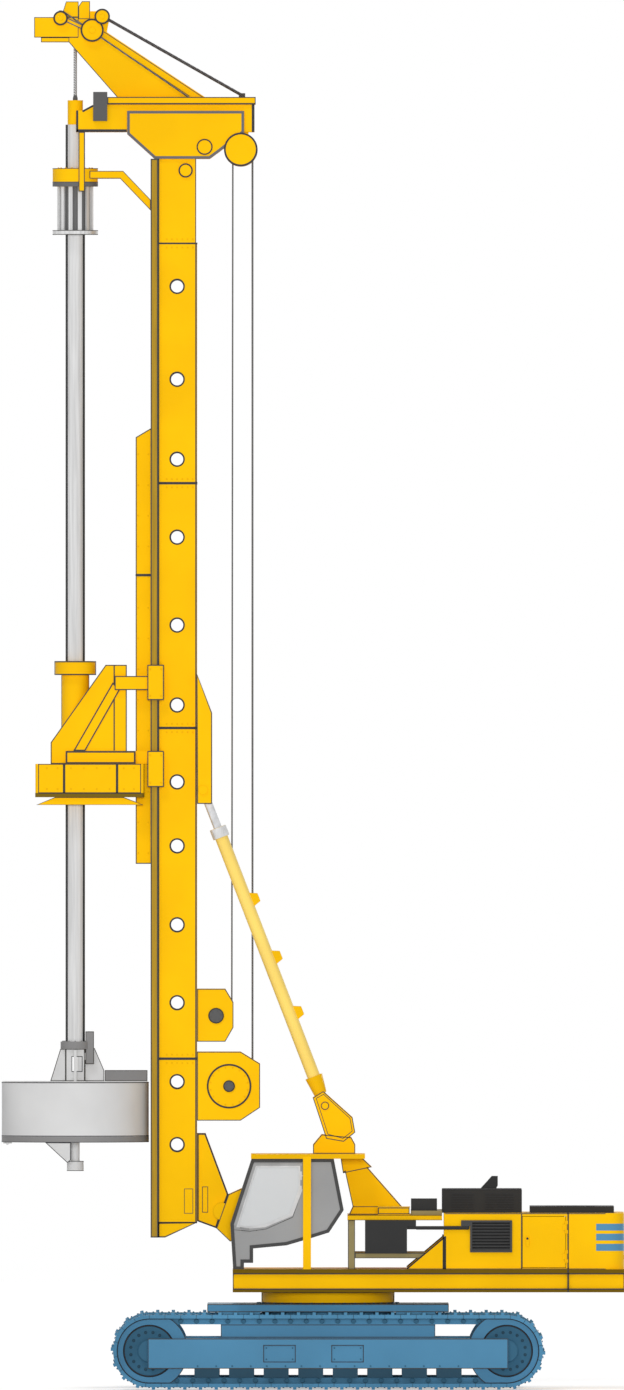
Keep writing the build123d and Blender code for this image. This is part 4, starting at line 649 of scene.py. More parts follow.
def make_frame_details():
    """Hatch edges and bolts, the dark lines of the beams and the roller bolts."""
    edges, bolts = Shape(), Shape()
    for x, z in HATCHES:
        edges.outline(square(x, z), (-FRAME_OUTSIDE - 2, -FRAME_OUTSIDE + 4), -10)
        for a in (x[0] + BOLT_INSET, x[1] - BOLT_INSET):
            for b in (z[0] + BOLT_INSET, z[1] - BOLT_INSET):
                bolts.bolt((a, -FRAME_OUTSIDE + 12, b), OUT, 18)
    for x in (-WHEEL_X - 14, WHEEL_X + 14):
        edges.strip((x, 296), (x, 712), (-FRAME_OUTSIDE - 2, -FRAME_OUTSIDE), 8)
    for index in range(ROLLER_COUNT):
        x = (index - (ROLLER_COUNT - 1) / 2) * ROLLER_PITCH
        for shift in (-130, 130):
            bolts.bolt((x + shift, -FRAME_OUTSIDE, 330), OUT, 20)
    edges.both_sides().place_flat("frame_edges", "outline", *UNDER)
    rows = [(square((-1500, 1500), (729, 909)), -1700, 10), (square((-1690, 1690), (1080, 1190)), -1235, 10)]
    beams = [((-2520, z), (2520, z), -FRAME_OUTSIDE, 10) for z in (299, 709)]
    draw_lines("frame_lines", "seam", "undercarriage", rows, beams)
    bolts.both_sides().place_flat("frame_bolts", "wheel blue", *UNDER)


RING_RADIUS = 924
RING_Z = (1190, 1358)


def make_ring_details():
    """The slewing ring's dark seals and its bolts on the deck."""
    seals = Shape()
    seals.ring((0, 0, RING_Z[0] + 1), UP, RING_RADIUS + 8, RING_RADIUS - 10, 16, 96)
    seals.ring((0, 0, RING_Z[1] - 16), UP, RING_RADIUS + 8, RING_RADIUS - 10, 15, 96)
    for side in (-1, 1):
        seals.box(sorted((side * (RING_RADIUS - 4), side * (RING_RADIUS + 8))), (-60, 60), RING_Z)
    seals.place("ring_seals", "outline", "upper")
    bolts = Shape().bolt_circle((0, 0, RING_Z[0]), UP, RING_RADIUS + 60, 40, 36)
    bolts.place_flat("ring_bolts", "bracket blue", *UNDER)


# Upper frame, house and counterweight

UPPER_X = (-1330, 4144)
UPPER_Z = (1358, 1680)
UPPER_SIDE = 1500
BODY_SIDE = 1450
SEAM_X = 3360
BODY_TOP = 2464


def make_upper_details():
    """Dark painted shade on the flange faces, seams and end lines of the upper frame, and the edges of the
    house and cooler.
    """
    flanges, seams = Shape(), Shape()
    flange_z = ((UPPER_Z[0], 1400), (1624, UPPER_Z[1]))
    for z in flange_z:
        flanges.box((UPPER_X[0] - 3, UPPER_X[1] + 3), (-UPPER_SIDE - 4, -UPPER_SIDE), z)
    flanges.both_sides()
    for z in flange_z:
        for x in ((UPPER_X[0] - 4, UPPER_X[0]), (UPPER_X[1], UPPER_X[1] + 4)):
            flanges.box(x, (-UPPER_SIDE, UPPER_SIDE), z)
    # The flange faces are painted in a dark olive shade, though they face the light.
    flanges.place_flat("frame_flanges", "flange shade", "upper", "yellow_paint")
    for z in ((1396, 1412), (1610, 1626)):
        seams.box((UPPER_X[0] - 2, UPPER_X[1] + 2), (-UPPER_SIDE - 6, -UPPER_SIDE), z)
    seams.box((SEAM_X - 11, SEAM_X + 11), (-UPPER_SIDE - 6, -UPPER_SIDE + 32), UPPER_Z)
    seams.box((SEAM_X - 10, SEAM_X + 10), (-BODY_SIDE - 3, -BODY_SIDE + 2), (UPPER_Z[1], BODY_TOP + 2))
    for x in (UPPER_X[0] + 3, UPPER_X[1] - 3):
        seams.box((x - 6, x + 6), (-UPPER_SIDE + 20, -UPPER_SIDE + 34), (1400, 1624))
    seams.both_sides()
    seams.box((SEAM_X - 10, SEAM_X + 10), (-BODY_SIDE, BODY_SIDE), (BODY_TOP - 2, BODY_TOP + 2))
    seams.place_flat("house_seams", "outline", "upper", "yellow_paint")
    face = (-BODY_SIDE - LINE_PROUD, -BODY_SIDE + LINE_SINK)
    corner = Shape().box((1604, 1652), face, (UPPER_Z[1], 2142)).strip((1106, 1688), (1620, 2120), face, 20)
    corner.both_sides().place_flat("corner_seals", "rib black", "upper")
    draw_lines("house_lines", "seam", "upper", strips=[
        ((2709, UPPER_Z[1]), (2709, BODY_TOP), -BODY_SIDE, 16),
        ((1640, BODY_TOP - 6), (3884, BODY_TOP - 6), -BODY_SIDE, 11),
        ((1108, 1686), (3884, 1686), -BODY_SIDE, 9)])
    draw_lines("cooler_lines", "outline", "upper", [(square((2828, 4004), (2464, 2555)), -900, 10)])


STRIPES_Z = ((2222, 2317), (2083, 2178), (1938, 2036))
WEIGHT_X = (3752, 3884)
WEIGHT_CORNER = 260


def make_counterweight_details():
    """Three painted stripes on each side, and the tail lamps."""
    stripes = Shape()
    for z in STRIPES_Z:
        stripes.box(WEIGHT_X, (-BODY_SIDE - 2, -BODY_SIDE + 1), z)
        section = [(radius, level) for level, radius in square(z, (WEIGHT_CORNER + 2, WEIGHT_CORNER - 2))]
        stripes.corner((WEIGHT_X[1], WEIGHT_CORNER - BODY_SIDE), (1, -1), section, 12)
    stripes.both_sides().place("weight_stripes", "stripe blue", "upper", "blue_paint")
    lamps = Shape()
    for y in (-1060, 1060):
        lamps.box((4136, 4152), (y - 90, y + 90), (1820, 1880))
    lamps.place("tail_lamps", "tail lamp", "upper", rounding=5)


LOUVRES_Z = range(2520, 2758, 34)


def make_house_details():
    """Door latches, the exhaust box's louvres and edges, and the cooler's fan guards."""
    for name, side in (("left", -1), ("right", 1)):
        centre = (2790, side * (BODY_SIDE + 22), 2110)
        latch = Shape().lathe(centre, (0, side, 0), [(16, 0), (16, 8), (10, 11)], 20)
        latch.place("door_latch_" + name, "black steel", "house_door_" + name)
    louvres = Shape()
    for z in LOUVRES_Z:
        for x in ((1720, 2040), (2200, 2600)):
            louvres.prism(square(x, (z, z + 6)), (-612, -600))
    louvres.both_sides().place_flat("exhaust_louvres", "outline", "upper")
    draw_lines("exhaust_edges", "outline", "upper", [(square((1598, 2714), (2466, 2798)), -601, 12)])
    guards = Shape()
    for y in (-450, 450):
        for radius in (120, 190, 260, 330):
            profile = square((radius - 4, radius + 4), (-3, 3))
            guards.lathe((3416, y, 2552), UP, profile, closed=True)
    guards.place("fan_guards", "outline", "upper")


PIPE_Y = -1476
PIPE_Z = 2260
PIPE_RADIUS = 25.5


def make_platform_details():
    """Dark lines of the platform edge and of its posts, the valve pipe's sleeve and the tray's lid."""
    lines = Shape()
    for z in ((2366, 2374), (2430, 2438)):
        lines.box((273, 1596), (-BODY_SIDE - 2, -BODY_SIDE), z)
    lines.both_sides().place_flat("platform_lines", "band", "upper", "yellow_paint")
    sleeve = Shape().tube([(x, PIPE_Y, PIPE_Z) for x in (1234, 1962)], PIPE_RADIUS, 32)
    sleeve.place("pipe_sleeve", "black steel", "upper")
    lid = Shape().box((694, 1147), (-1356, -894), (2544, 2556))
    lid.place("tray_lid", "dark amber", "upper", "yellow_paint", rounding=4)
    tray = square((700, 1141), (2450, 2544))
    draw_lines("tray_lines", "outline", "upper", [(tray, -1350, 12)], mirrored=False)
    outer = -BODY_SIDE + 50
    rows = [(square((280, 378), (1680, 2366)), outer, 9), (square((378, 1358), (1834, 1908)), outer, 9)]
    draw_lines("post_lines", "seam", "upper", rows)


# Cab

CAB_LEFT = -1440
CAB_RIGHT = -490
CAB_MIDDLE = (CAB_LEFT + CAB_RIGHT) / 2
CAB_GLASS = [(-1011, 3128), (-395, 3128), (-395, 2803), (-520, 2450), (-879, 2290), (-1089, 2262),
             (-1280, 2280)]
GLASS_BORDER = [(-1011, 3128), (-352, 3128), (-352, 2803), (-494, 2430), (-879, 2269), (-1089, 2250),
                (-1284, 2269)]
CAB_OUTLINE = [(-1060, 3216), (70, 3216), (207, 2509), (7, 2205), (-235, 2129), (-580, 2027), (-1060, 1982),
               (-1060, 1782), (-1189, 1782), (-1189, 1684), (-1316, 1684), (-1355, 2313)]


def make_cab_details():
    """Window seals, the dark corner edges and the door handle."""
    seal = Shape().outline(CAB_GLASS, (CAB_LEFT - 4, CAB_LEFT + 12), 16)
    seal.place_flat("door_seal", "window edge", "cab_door", "cab_trim")
    # Painted light: a band lighter than the cab grey over the door frame's top and left edges, which lie in
    # shade.
    band = Shape()
    for corners in ([(-364, 3168), (-364, 3129), (-1012, 3129)],
                    [(-1012, 3129), (-1281, 2281), (-1316, 2300)]):
        band.prism([(-1049, 3168), *corners], (CAB_LEFT - 5, CAB_LEFT + 1))
    band.place_flat("door_band_painted_light", "door band painted light", "cab_door", "cab_trim")
    border = Shape()
    for index in range(1, 6):
        inner, outer = CAB_GLASS[index:index + 2], GLASS_BORDER[index:index + 2]
        border.prism(inner + outer[::-1], (CAB_LEFT - 4, CAB_LEFT))
    border.place_flat("window_border", "window edge", "cab_door", "cab_trim")
    seal = Shape().outline(CAB_GLASS, (CAB_RIGHT - 3, CAB_RIGHT + 5), -16)
    seal.place_flat("side_seal", "gasket", "upper", "cab_trim")
    edges = Shape()
    for y in ((CAB_LEFT - 8, CAB_LEFT + 2), (CAB_RIGHT - 2, CAB_RIGHT + 8)):
        edges.outline(CAB_OUTLINE, y, 36).outline(CAB_OUTLINE, y, -12)
    edges.place_flat("cab_edges", "gasket", "upper", "cab_trim")
    near, far = CAB_LEFT - 8, CAB_LEFT - 34
    bent = [(-1225, near, 2262), (-1225, far, 2262), (-1120, far, 2246), (-1120, near, 2246)]
    handle = Shape().tube(bent, 9)
    handle.place("door_handle", "cab grey", "cab_door")


CUSHION_GRID = 14
CHANNELS = (0.24, 0.76)
CHANNEL_WIDTH = 0.022


def cushion(name, corners, thickness, crown):
    """A crowned pad between four corners, thicker in the middle, with stitched channels."""
    low, across, far, deep = [Vector(corner) for corner in corners]
    normal = (across - low).cross(deep - low).normalized()
    pad = Shape()
    sides = []
    count = CUSHION_GRID
    for face in (-1, 1):
        grid = []
        for i in range(count + 1):
            row = []
            for j in range(count + 1):
                u, v = i / count, j / count
                place = low.lerp(across, u).lerp(deep.lerp(far, u), v)
                edge = min(1.0, 5.5 * min(u, 1 - u, v, 1 - v))
                rise = thickness * (0.35 + 0.65 * math.sqrt(edge * (2 - edge))) / 2
                rise += crown * math.sin(math.pi * u) * math.sin(math.pi * v) * (1 if face > 0 else 0.2)
                rise -= thickness * 0.16 * sum(math.exp(-((u - at) / CHANNEL_WIDTH) ** 2) for at in CHANNELS)
                row.append(pad.mesh.verts.new((place + normal * (face * rise)) * MM))
            grid.append(row)
        sides.append(grid)
        for i in range(count):
            for j in range(count):
                corner = (grid[i][j], grid[i + 1][j], grid[i + 1][j + 1], grid[i][j + 1])
                pad.mesh.faces.new(corner[::face])
    rim = [(i, 0) for i in range(count)] + [(count, j) for j in range(count)]
    rim += [(i, count) for i in range(count, 0, -1)] + [(0, j) for j in range(count, 0, -1)]
    for (a, b), (c, d) in zip(rim, rim[1:] + rim[:1]):
        pad.mesh.faces.new((sides[0][a][b], sides[0][c][d], sides[1][c][d], sides[1][a][b]))
    piece = pad.place_flat(name, "seat cloth", "upper", "cab_trim")
    piece.data.shade_smooth()
    smooth = piece.modifiers.new("smooth", "SUBSURF")
    smooth.levels = 1
    smooth.render_levels = 1


def make_cab_interior():
    """Seat on its base, armrests with levers, and the console with its screen."""
    def across(near, far):
        return CAB_MIDDLE + near, CAB_MIDDLE + far

    base = Shape()
    foot = [(-690, 2066), (-588, 2076), (-300, 2162), (-330, 2400), (-700, 2400), (-640, 2240)]
    base.prism(foot, across(-150, 150))
    base.prism(square((-730, -300), (2400, 2428)), across(-215, 215))
    base.prism([(-330, 2420), (-286, 2420), (-196, 2960), (-236, 2960)], across(-190, 190))
    arm = [(-420, 2420), (-370, 2420), (-370, 2600), (-690, 2620), (-690, 2590), (-420, 2570)]
    for wide in ((-240, -222), (222, 240)):
        base.prism(arm, across(*wide))
    base.place("seat_base", "trim", "upper", "cab_trim", rounding=6)
    for name, half, low, high, thickness, crown in (
            ("seat_cushion", 225, (-760, 2490), (-330, 2462), 92, 16),
            ("seat_back", 205, (-372, 2530), (-276, 2950), 74, 12)):
        left, right = across(-half, half)
        corners = [(x, y, z) for (x, z), y in zip((low, low, high, high), (left, right, right, left))]
        cushion(name, corners, thickness, crown)
    levers = Shape()
    for y in across(-231, 231):
        levers.tube([(-660, y, 2612), (-672, y, 2668), (-664, y, 2706)], 9)
        levers.lathe((-664, y, 2700), (0.1, 0, 1), [(12, 0), (21, 14), (22, 46), (15, 66), (6, 72)], 20)
    levers.tube([(x, CAB_MIDDLE - 60, z) for x, z in ((-1010, 2080), (-1000, 2200), (-985, 2330))], 9)
    levers.place("control_levers", "trim", "upper", "cab_trim")
    stand = [(-1208, 2100), (-1110, 2040), (-1064, 2044), (-1090, 2490), (-1186, 2546), (-1224, 2470)]
    console = Shape().prism(stand, across(60, 250))
    console.prism([(-1128, 2520), (-1086, 2520), (-1060, 2700), (-1088, 2704)], across(40, 270))
    console_piece = console.place("console", "trim", "upper", "cab_trim", rounding=8)
    screen = Shape().prism([(-1084, 2536), (-1080, 2536), (-1057, 2690), (-1061, 2690)], across(56, 254))
    screen.place_flat("console_screen", "screen", "upper", "cab_trim")
    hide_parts("cab_interior")


# Gantry and backstays

STAY_FOOT = Vector((-42, 3962))
STAY_HEAD = Vector((-1750, 8386))
STAY_WAY = (STAY_HEAD - STAY_FOOT).normalized()
STAY_Y = 350
GUARD_Y = (-1503, -1500)


def along_stay(distance):
    """The point at a distance from the foot of the cab side's backstay, and the stay's direction."""
    place = STAY_FOOT + STAY_WAY * distance
    return (place.x, -STAY_Y, place.y), (STAY_WAY.x, 0, STAY_WAY.y)


def make_stay_details():
    """Glands, collars, port blocks and pin caps of the backstays, edges of their brackets and the gantry."""
    glands = Shape().lathe(*along_stay(4029), [(112, -2), (119, 4), (119, 141), (112, 147), (60, 147)])
    glands.both_sides().place("stay_glands", "bright steel", "stay_barrels", "chrome_rod")
    collars = Shape().lathe(*along_stay(178), [(60, 0), (90, 0), (124, 255), (124, 259), (60, 259)])
    side = Vector((STAY_WAY.y, -STAY_WAY.x))
    for distance in (1364, 2196, 3064):
        block = [STAY_FOOT + STAY_WAY * (distance + shift) + side * rise
                 for shift, rise in ((-99, 84), (-63, 189), (53, 189), (99, 84))]
        collars.prism(block, (-STAY_Y - 43, -STAY_Y + 43))
    collars.both_sides().place("stay_collars", "dark amber", "stay_barrels", "yellow_paint", rounding=4)
    face = -STAY_Y - 130
    caps = Shape().ring((STAY_FOOT.x, face - 14, STAY_FOOT.y), OUT, 58, 46, 6, 40)
    caps.both_sides().place("stay_pin_caps", "seam", "upper")
    ear = [(-214, 4074), (-67, 4166), (344, 3798), (382, 3588), (220, 3458), (-25, 3500)]
    nested = [(-170, 4068), (-62, 4128), (312, 3788), (344, 3605), (212, 3500), (-4, 3560)]
    base = [(-210, 3290), (-210, 3416), (-90, 3560), (326, 3520), (382, 3416), (382, 3290)]
    draw_lines("bracket_lines", "seam", "upper", [(ear, face, 12), (nested, face, 9), (base, face, 12)])
    leg = [(175, 3234), (476, 3234), (616, 3101), (560, 3090), (1036, 2548), (1100, 2436), (294, 2436),
           (346, 2548), (238, 3038), (210, 3017)]
    draw_lines("gantry_lines", "seam", "upper", [(leg, -450, 12)], [
        ((210, 3022), (560, 3095), -450, 12), ((346, 2548), (1036, 2548), -450, 10)])
    edge = Shape().box((-1078, -350), GUARD_Y, (3227, 3290)).box((-350, -238), GUARD_Y, (3258, 3290))
    edge.box((-238, 518), GUARD_Y, (3227, 3290))
    edge.place_flat("guard_edge", "guard amber", "upper", "yellow_paint")


def make_foot_details():
    """The dark edges of the mast's foot arms and brackets."""
    arm = [(-1565, 2244), (-1396, 2719), (-1218, 2800), (-238, 2900), (-238, 2300), (-700, 2180),
           (-1372, 2058)]
    draw_lines("arm_edges", "seam", "upper", [(arm, -330, 12)])
    bracket = [(-1834, 3576), (-1715, 3576), (-1396, 2719), (-1565, 2244), (-1834, 2342)]
    rows = [(bracket, -240, 22), (square((-1764, -1680), (2464, 2828)), -240, 9)]
    draw_lines("foot_bracket_lines", "outline", "mast", rows)


# Mast

MAST_FRONT = -2380
MAST_REAR = -1834
MAST_SIDE = 300
MAST_FOOT_Z = 2324
MAST_TOP_Z = 17230
MAST_SEAMS = (4620, 9254, 12684, 16044)
MAST_BOLTS_X = range(-2260, -1822, 73)
MAST_HOLE_X = -2114
MAST_HOLES = (15442, 14140, 13020, 11928, 10696, 9576, 8498, 7602, 6496, 5404, 4298, 3416)


def make_mast_details():
    """Bolted joint bands, hole collars, corner lines and slot plates of the mast."""
    bands, collars, bolts, edges = Shape(), Shape(), Shape(), Shape()
    for z in MAST_SEAMS:
        half = 11 if z == MAST_SEAMS[-1] else 17
        level = (z - half, z + half)
        for y in ((-MAST_SIDE - 4, -MAST_SIDE), (MAST_SIDE, MAST_SIDE + 4)):
            bands.box((MAST_FRONT + 2, MAST_REAR + 4), y, level)
        bands.box((MAST_REAR, MAST_REAR + 4), (-MAST_SIDE, MAST_SIDE), level)
        for bolt_z in (z - 58, z + 58):
            for x in MAST_BOLTS_X:
                for side in (-1, 1):
                    bolts.bolt((x, side * MAST_SIDE, bolt_z), (0, side, 0), 22)
    bands.place_flat("mast_joints", "outline", "mast")
    bolts.place_bolts("mast_bolts", "mast")
    for z in MAST_HOLES:
        collars.ring((MAST_HOLE_X, -MAST_SIDE + 16, z), OUT, 109, 86, 22, 56)
    collars.both_sides().place("hole_collars", "outline", "mast")
    face = (-MAST_SIDE - 3, -MAST_SIDE)
    edges.strip((MAST_FRONT + 8, 2120), (MAST_FRONT + 8, MAST_TOP_Z), face, 16)
    edges.strip((MAST_REAR - 15, 2330), (MAST_REAR - 15, MAST_SEAMS[-1]), (-MAST_SIDE - 1.5, -MAST_SIDE), 22)
    edges.strip((MAST_REAR - 20, MAST_SEAMS[-1]), (MAST_REAR - 20, MAST_TOP_Z), face, 12)
    edges.strip((MAST_FRONT, MAST_FOOT_Z), (MAST_REAR, MAST_FOOT_Z), face, 20)
    edges.outline(square((-2016, -1890), (2450, 2800)), face, 8)
    foot = [(MAST_FRONT, 2114), (-2282, 2114), (MAST_REAR, MAST_FOOT_Z), (MAST_FRONT, MAST_FOOT_Z)]
    edges.outline(foot, face, 18)
    edges.both_sides().place_flat("mast_edges", "seam", "mast")
    head = [(MAST_REAR, 10010), (-1624, 9464), (-1624, 8190), (MAST_REAR, 8190)]
    rails = square((-2485, MAST_FRONT), (2114, MAST_TOP_Z - 1))
    draw_lines("rail_lines", "seam", "mast", [(rails, -390, 16), (head, -505, 14)])
    boss = Shape().ring((-1995, -MAST_SIDE - 30, 17066), OUT, 100, 80, 6, 48)
    boss.both_sides().place("boss_rings", "outline", "mast")


CASING_BOLTS_Z = range(7500, 13520, 430)


def make_casing_details():
    """The dark seams and edges of the crowd casing and its cover bolts."""
    seam = Shape().box((-2699, MAST_FRONT - 105), (-132, 132), (11386, 11406))
    seam.place_flat("casing_seam", "outline", "mast")
    bolts = Shape()
    for z in CASING_BOLTS_Z:
        for x in (-2660, -2520):
            for side in (-1, 1):
                bolts.bolt((x, side * 130, z), (0, side, 0), 20)
    bolts.place_bolts("casing_bolts", "mast")
    upper = [(-2695, 11400), (-2695, 13328), (-2485, 13454), (-2380, 13454), (-2380, 11400)]
    rows = [(square((-2695, -2380), (7350, 11392)), -130, 14), (upper, -130, 14)]
    draw_lines("casing_lines", "seam", "mast", rows)


# Winches and ropes

MAIN_WINCH = (-1386, 4235)
AUX_WINCH = (-1568, 5222)
WINCHES = (("main", MAIN_WINCH), ("auxiliary", AUX_WINCH))
HUBS = ((74, 312), (101, 262))
ROPE_LAYERS = ((308, 218), (205, 168))
ROPE_RADIUS = 14
STRAND_STEPS = 5


def make_winch_details():
    """Cover rings, hubs, bolts and the rope laid on the drums."""
    centre = (MAIN_WINCH[0], -300, MAIN_WINCH[1])
    Shape().ring(centre, OUT, 312, 288, 10, 80).both_sides().place("winch_rings", "outline", "mast")
    bolts = Shape().bolt_circle(centre, OUT, 262, 16, 20).both_sides()
    bolts.place_bolts("winch_bolts", "mast")
    main = [(MAST_REAR, 3752), (-1225, 3752), (-952, 3934), (-952, 4550), (-1225, 4718), (MAST_REAR, 4718)]
    auxiliary = [(MAST_REAR, 4858), (-1439, 4858), (-1325, 5056), (-1325, 5409), (-1439, 5600),
                 (MAST_REAR, 5600)]
    draw_lines("winch_lines", "seam", "mast", [(main, -300, 12), (auxiliary, -250, 12)])
    for (name, (x, z)), (radius, reach) in zip(WINCHES, HUBS):
        profile = [(radius, 0), (radius, 5), (radius * 0.7, 10), (radius * 0.3, 10)]
        hub = Shape().lathe((x, -reach, z), OUT, profile, 40)
        hub.bolt_circle((x, -reach - 8, z), OUT, radius * 0.72, 6, 22)
        hub.both_sides().place(name + "_hub_caps", "hub dark", name + "_drum", "drum_steel")
        rim = Shape().ring((x, -reach, z), OUT, radius + 8, radius - 6, 8, 48)
        rim.both_sides().place(name + "_hub_caps_rims", "rib black", name + "_drum", "drum_steel")
    for (name, (x, z)), (radius, half) in zip(WINCHES, ROPE_LAYERS):
        profile = []
        for turn in range(half // ROPE_RADIUS):
            start = -half + turn * 2 * ROPE_RADIUS
            for step in range(STRAND_STEPS):
                share = step / STRAND_STEPS
                rise = ROPE_RADIUS * math.sin(math.pi * share)
                profile.append((radius + 1 + rise, start + 2 * ROPE_RADIUS * share))
        profile.append((radius + 1, profile[-1][1] + 5))
        profile = [(radius - 6, profile[0][1] - 2), *profile, (radius - 6, profile[-1][1] + 2)]
        layer = Shape().lathe((x, 0, z), INWARD, profile, 64, closed=True)
        layer.place(name + "_rope_layer", "rope", name + "_drum", "drum_steel")


def arc(centre, radius, start, end, y, steps=16):
    """Points on an arc round a sheave in the side view, angles in degrees from +X."""
    found = []
    for step in range(steps + 1):
        turn = math.radians(start + (end - start) * step / steps)
        found.append((centre[0] + radius * math.cos(turn), y, centre[1] + radius * math.sin(turn)))
    return found


def slope_between(first, last):
    """The angle at which a rope from one sheave to the next leaves their rims, in degrees."""
    return math.degrees(math.atan2(last[1] - first[1], last[0] - first[0])) - 90


KELLY_X = -3542
KELLY_ROPE_Z = (18040, 18850)
KELLY_ROPE_STEPS = 24


def make_ropes():
    """The main rope over the rear sheave to the jib, the auxiliary rope, and the rope of the kelly bar."""
    rear, rear_radius = (-1222, 17360), 164
    jib, jib_radius = (-3370, 18900), 172
    slope = slope_between(rear, jib)
    points = [(rear[0] + rear_radius, 0, MAIN_WINCH[1]), *arc(rear, rear_radius, 0, slope, 0),
              *arc(jib, jib_radius, slope, 180, 0), (jib[0] - jib_radius, 0, 18840)]
    Shape().tube(points, ROPE_RADIUS).place("main_rope", "rope", "mast", "drum_steel")
    y = -160
    centre, front = (-1504, 17580), (-3748, 19202)
    slope = slope_between(centre, front)
    points = [(AUX_WINCH[0] + 220, y, AUX_WINCH[1]), *arc(centre, 171, 0, slope, y),
              *arc(front, 98, slope, slope + 50, y)]
    Shape().tube(points, 11).place("auxiliary_rope", "rope", "mast", "drum_steel")
    low, high = KELLY_ROPE_Z
    count = KELLY_ROPE_STEPS
    points = [(KELLY_X, 0, low + (high - low) * step / count) for step in range(count + 1)]
    piece = Shape().tube(points, 24).place("kelly_rope", "light rope", None, "drum_steel")
    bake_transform(piece)
    socket = Shape().lathe((KELLY_X, 0, 18052), UP, [(34, 0), (34, 30), (18, 90)], 24)
    socket.place("rope_socket", "hub dark", "swivel", "drum_steel")


# Mast head and jib

HEAD_SIDE = 340
HEAD_X = (-3091, -1014)
CHEEK = [(-2814, 17900), (-1176, 17900), (-1176, 17600), (-1512, 17336), (-1656, 17230), (-2430, 17230),
         (-2814, 17576)]


def make_head_details():
    """Grey borders of the cheeks, boss and sheave rings, and the top plate's lines."""
    border = Shape().outline(CHEEK, (-HEAD_SIDE - 4, -HEAD_SIDE), 36).both_sides()
    border.place_flat("cheek_borders", "border grey", "mast", "yellow_paint")
    rings = Shape().ring((-1729, -HEAD_SIDE - 9, 17396), OUT, 112, 94, 6, 56)
    rings.ring((-1222, -HEAD_SIDE - 13, 17360), OUT, 236, 211, 6, 72)
    rings.both_sides().place("head_rings", "outline", "mast")
    lines = Shape()
    for side, x, z in (
            (HEAD_SIDE, HEAD_X, (17990, 18010)), (HEAD_SIDE, HEAD_X, (18083, 18095)),
            (HEAD_SIDE, (HEAD_X[0], HEAD_X[0] + 12), (17990, 18095)),
            (HEAD_SIDE, (HEAD_X[1] - 12, HEAD_X[1]), (17990, 18095)),
            (MAST_SIDE, (-3528, -2820), (17605, 17642)), (MAST_SIDE, (-3528, -3500), (17605, 17906)),
            (MAST_SIDE, (-1068, -1030), (17605, 17990))):
        lines.box(x, (-side - 3, -side), z)
    lines.strip((-3440, 17892), (-3290, 17974), (-MAST_SIDE - 3, -MAST_SIDE), 26)
    lines.both_sides().place_flat("head_lines", "outline", "mast")


def make_jib_details():
    """Pulley rings, the link strip and the edge lines of the jib plates."""
    rings = Shape()
    for x, y, z, radius in ((-3748, -190, 19202, 101), (-3305, -190, 19033, 161), (-3164, -255, 19225, 108)):
        rings.ring((x, y - 2, z), OUT, radius + 1, radius - 22, 8, 56)
    rings.place("pulley_rings", "outline", "mast")
    link = Shape().strip((-3740, 19214), (-3330, 19025), (-127, -121), 60)
    link.prism([(-3499, 18934), (-3380, 18934), (-3290, 19060), (-3400, 19192), (-3499, 19192)], (-119, -92))
    link.place_flat("pulley_link", "yellow", "mast", "yellow_paint")
    bars = Shape().strip((-3730, 19236), (-3320, 19047), (-130, -127), 15)
    bars.strip((-3750, 19192), (-3340, 19003), (-130, -127), 15)
    bars.place_flat("link_lines", "border grey", "mast")
    peak = [(-3710, 19216), (-3710, 19312), (-3671, 19435), (-3497, 19435), (-3497, 19216)]
    rear = [(-3497, 19368), (-3448, 19439), (-3336, 19439), (-3336, 19190), (-3497, 19190)]
    outlines = [(points, -120, 9) for points in (
        square((-4117, -3497), (18932, 19216)), square((-4022, -3626), (18865, 18932)), peak, rear)]
    draw_lines("jib_edges", "seam", "mast", outlines, [
        ((-3140, 19010), (-1760, 18098), -120, 10), ((-3220, 18960), (-1940, 18110), -120, 8),
        ((-3626, 18865), (-2954, 18100), -120, 10), ((-4022, 18932), (-3500, 18932), -120, 8)])


def make_guide_details():
    """The dark band, sleeve, rims and bolts of the kelly guide."""
    profile = [(318, 0), (319, 4), (319, 62), (318, 67), (296, 67), (296, 0)]
    band = Shape().lathe((KELLY_X, 0, 16842), UP, profile, 64, closed=True)
    band.place("guide_band", "band grey", "mast")
    Shape().hoop((KELLY_X, 0, 16229), 208, 196, 613).place("guide_sleeve", "band grey", "mast")
    rims = Shape()
    for z in (16166, 16221, 16900, 17090):
        rims.hoop((KELLY_X, 0, z), 320, 300, 9)
    rims.place("guide_rims", "seam", "mast")
    arm = [(-3340, 17060), (-2871, 17060), (-2485, 16656), (-2485, 16506), (-2913, 16954), (-3340, 16954)]
    post = square((-3494, -3408), (16772, 17605))
    draw_lines("guide_lines", "seam", "mast", [(post, -326, 12), (arm, -255, 9)])
    bolts = Shape().bolt_circle((KELLY_X, 0, 17098), UP, 240, 16, 24)
    bolts.place_bolts("guide_bolts", "mast")


# Sledge and rotary drive

DRIVE_SIDE = 470
DRIVE_X = (-4059, -2620)
DRIVE_CORNER = 40
BAND_Z = (8284, 8344)


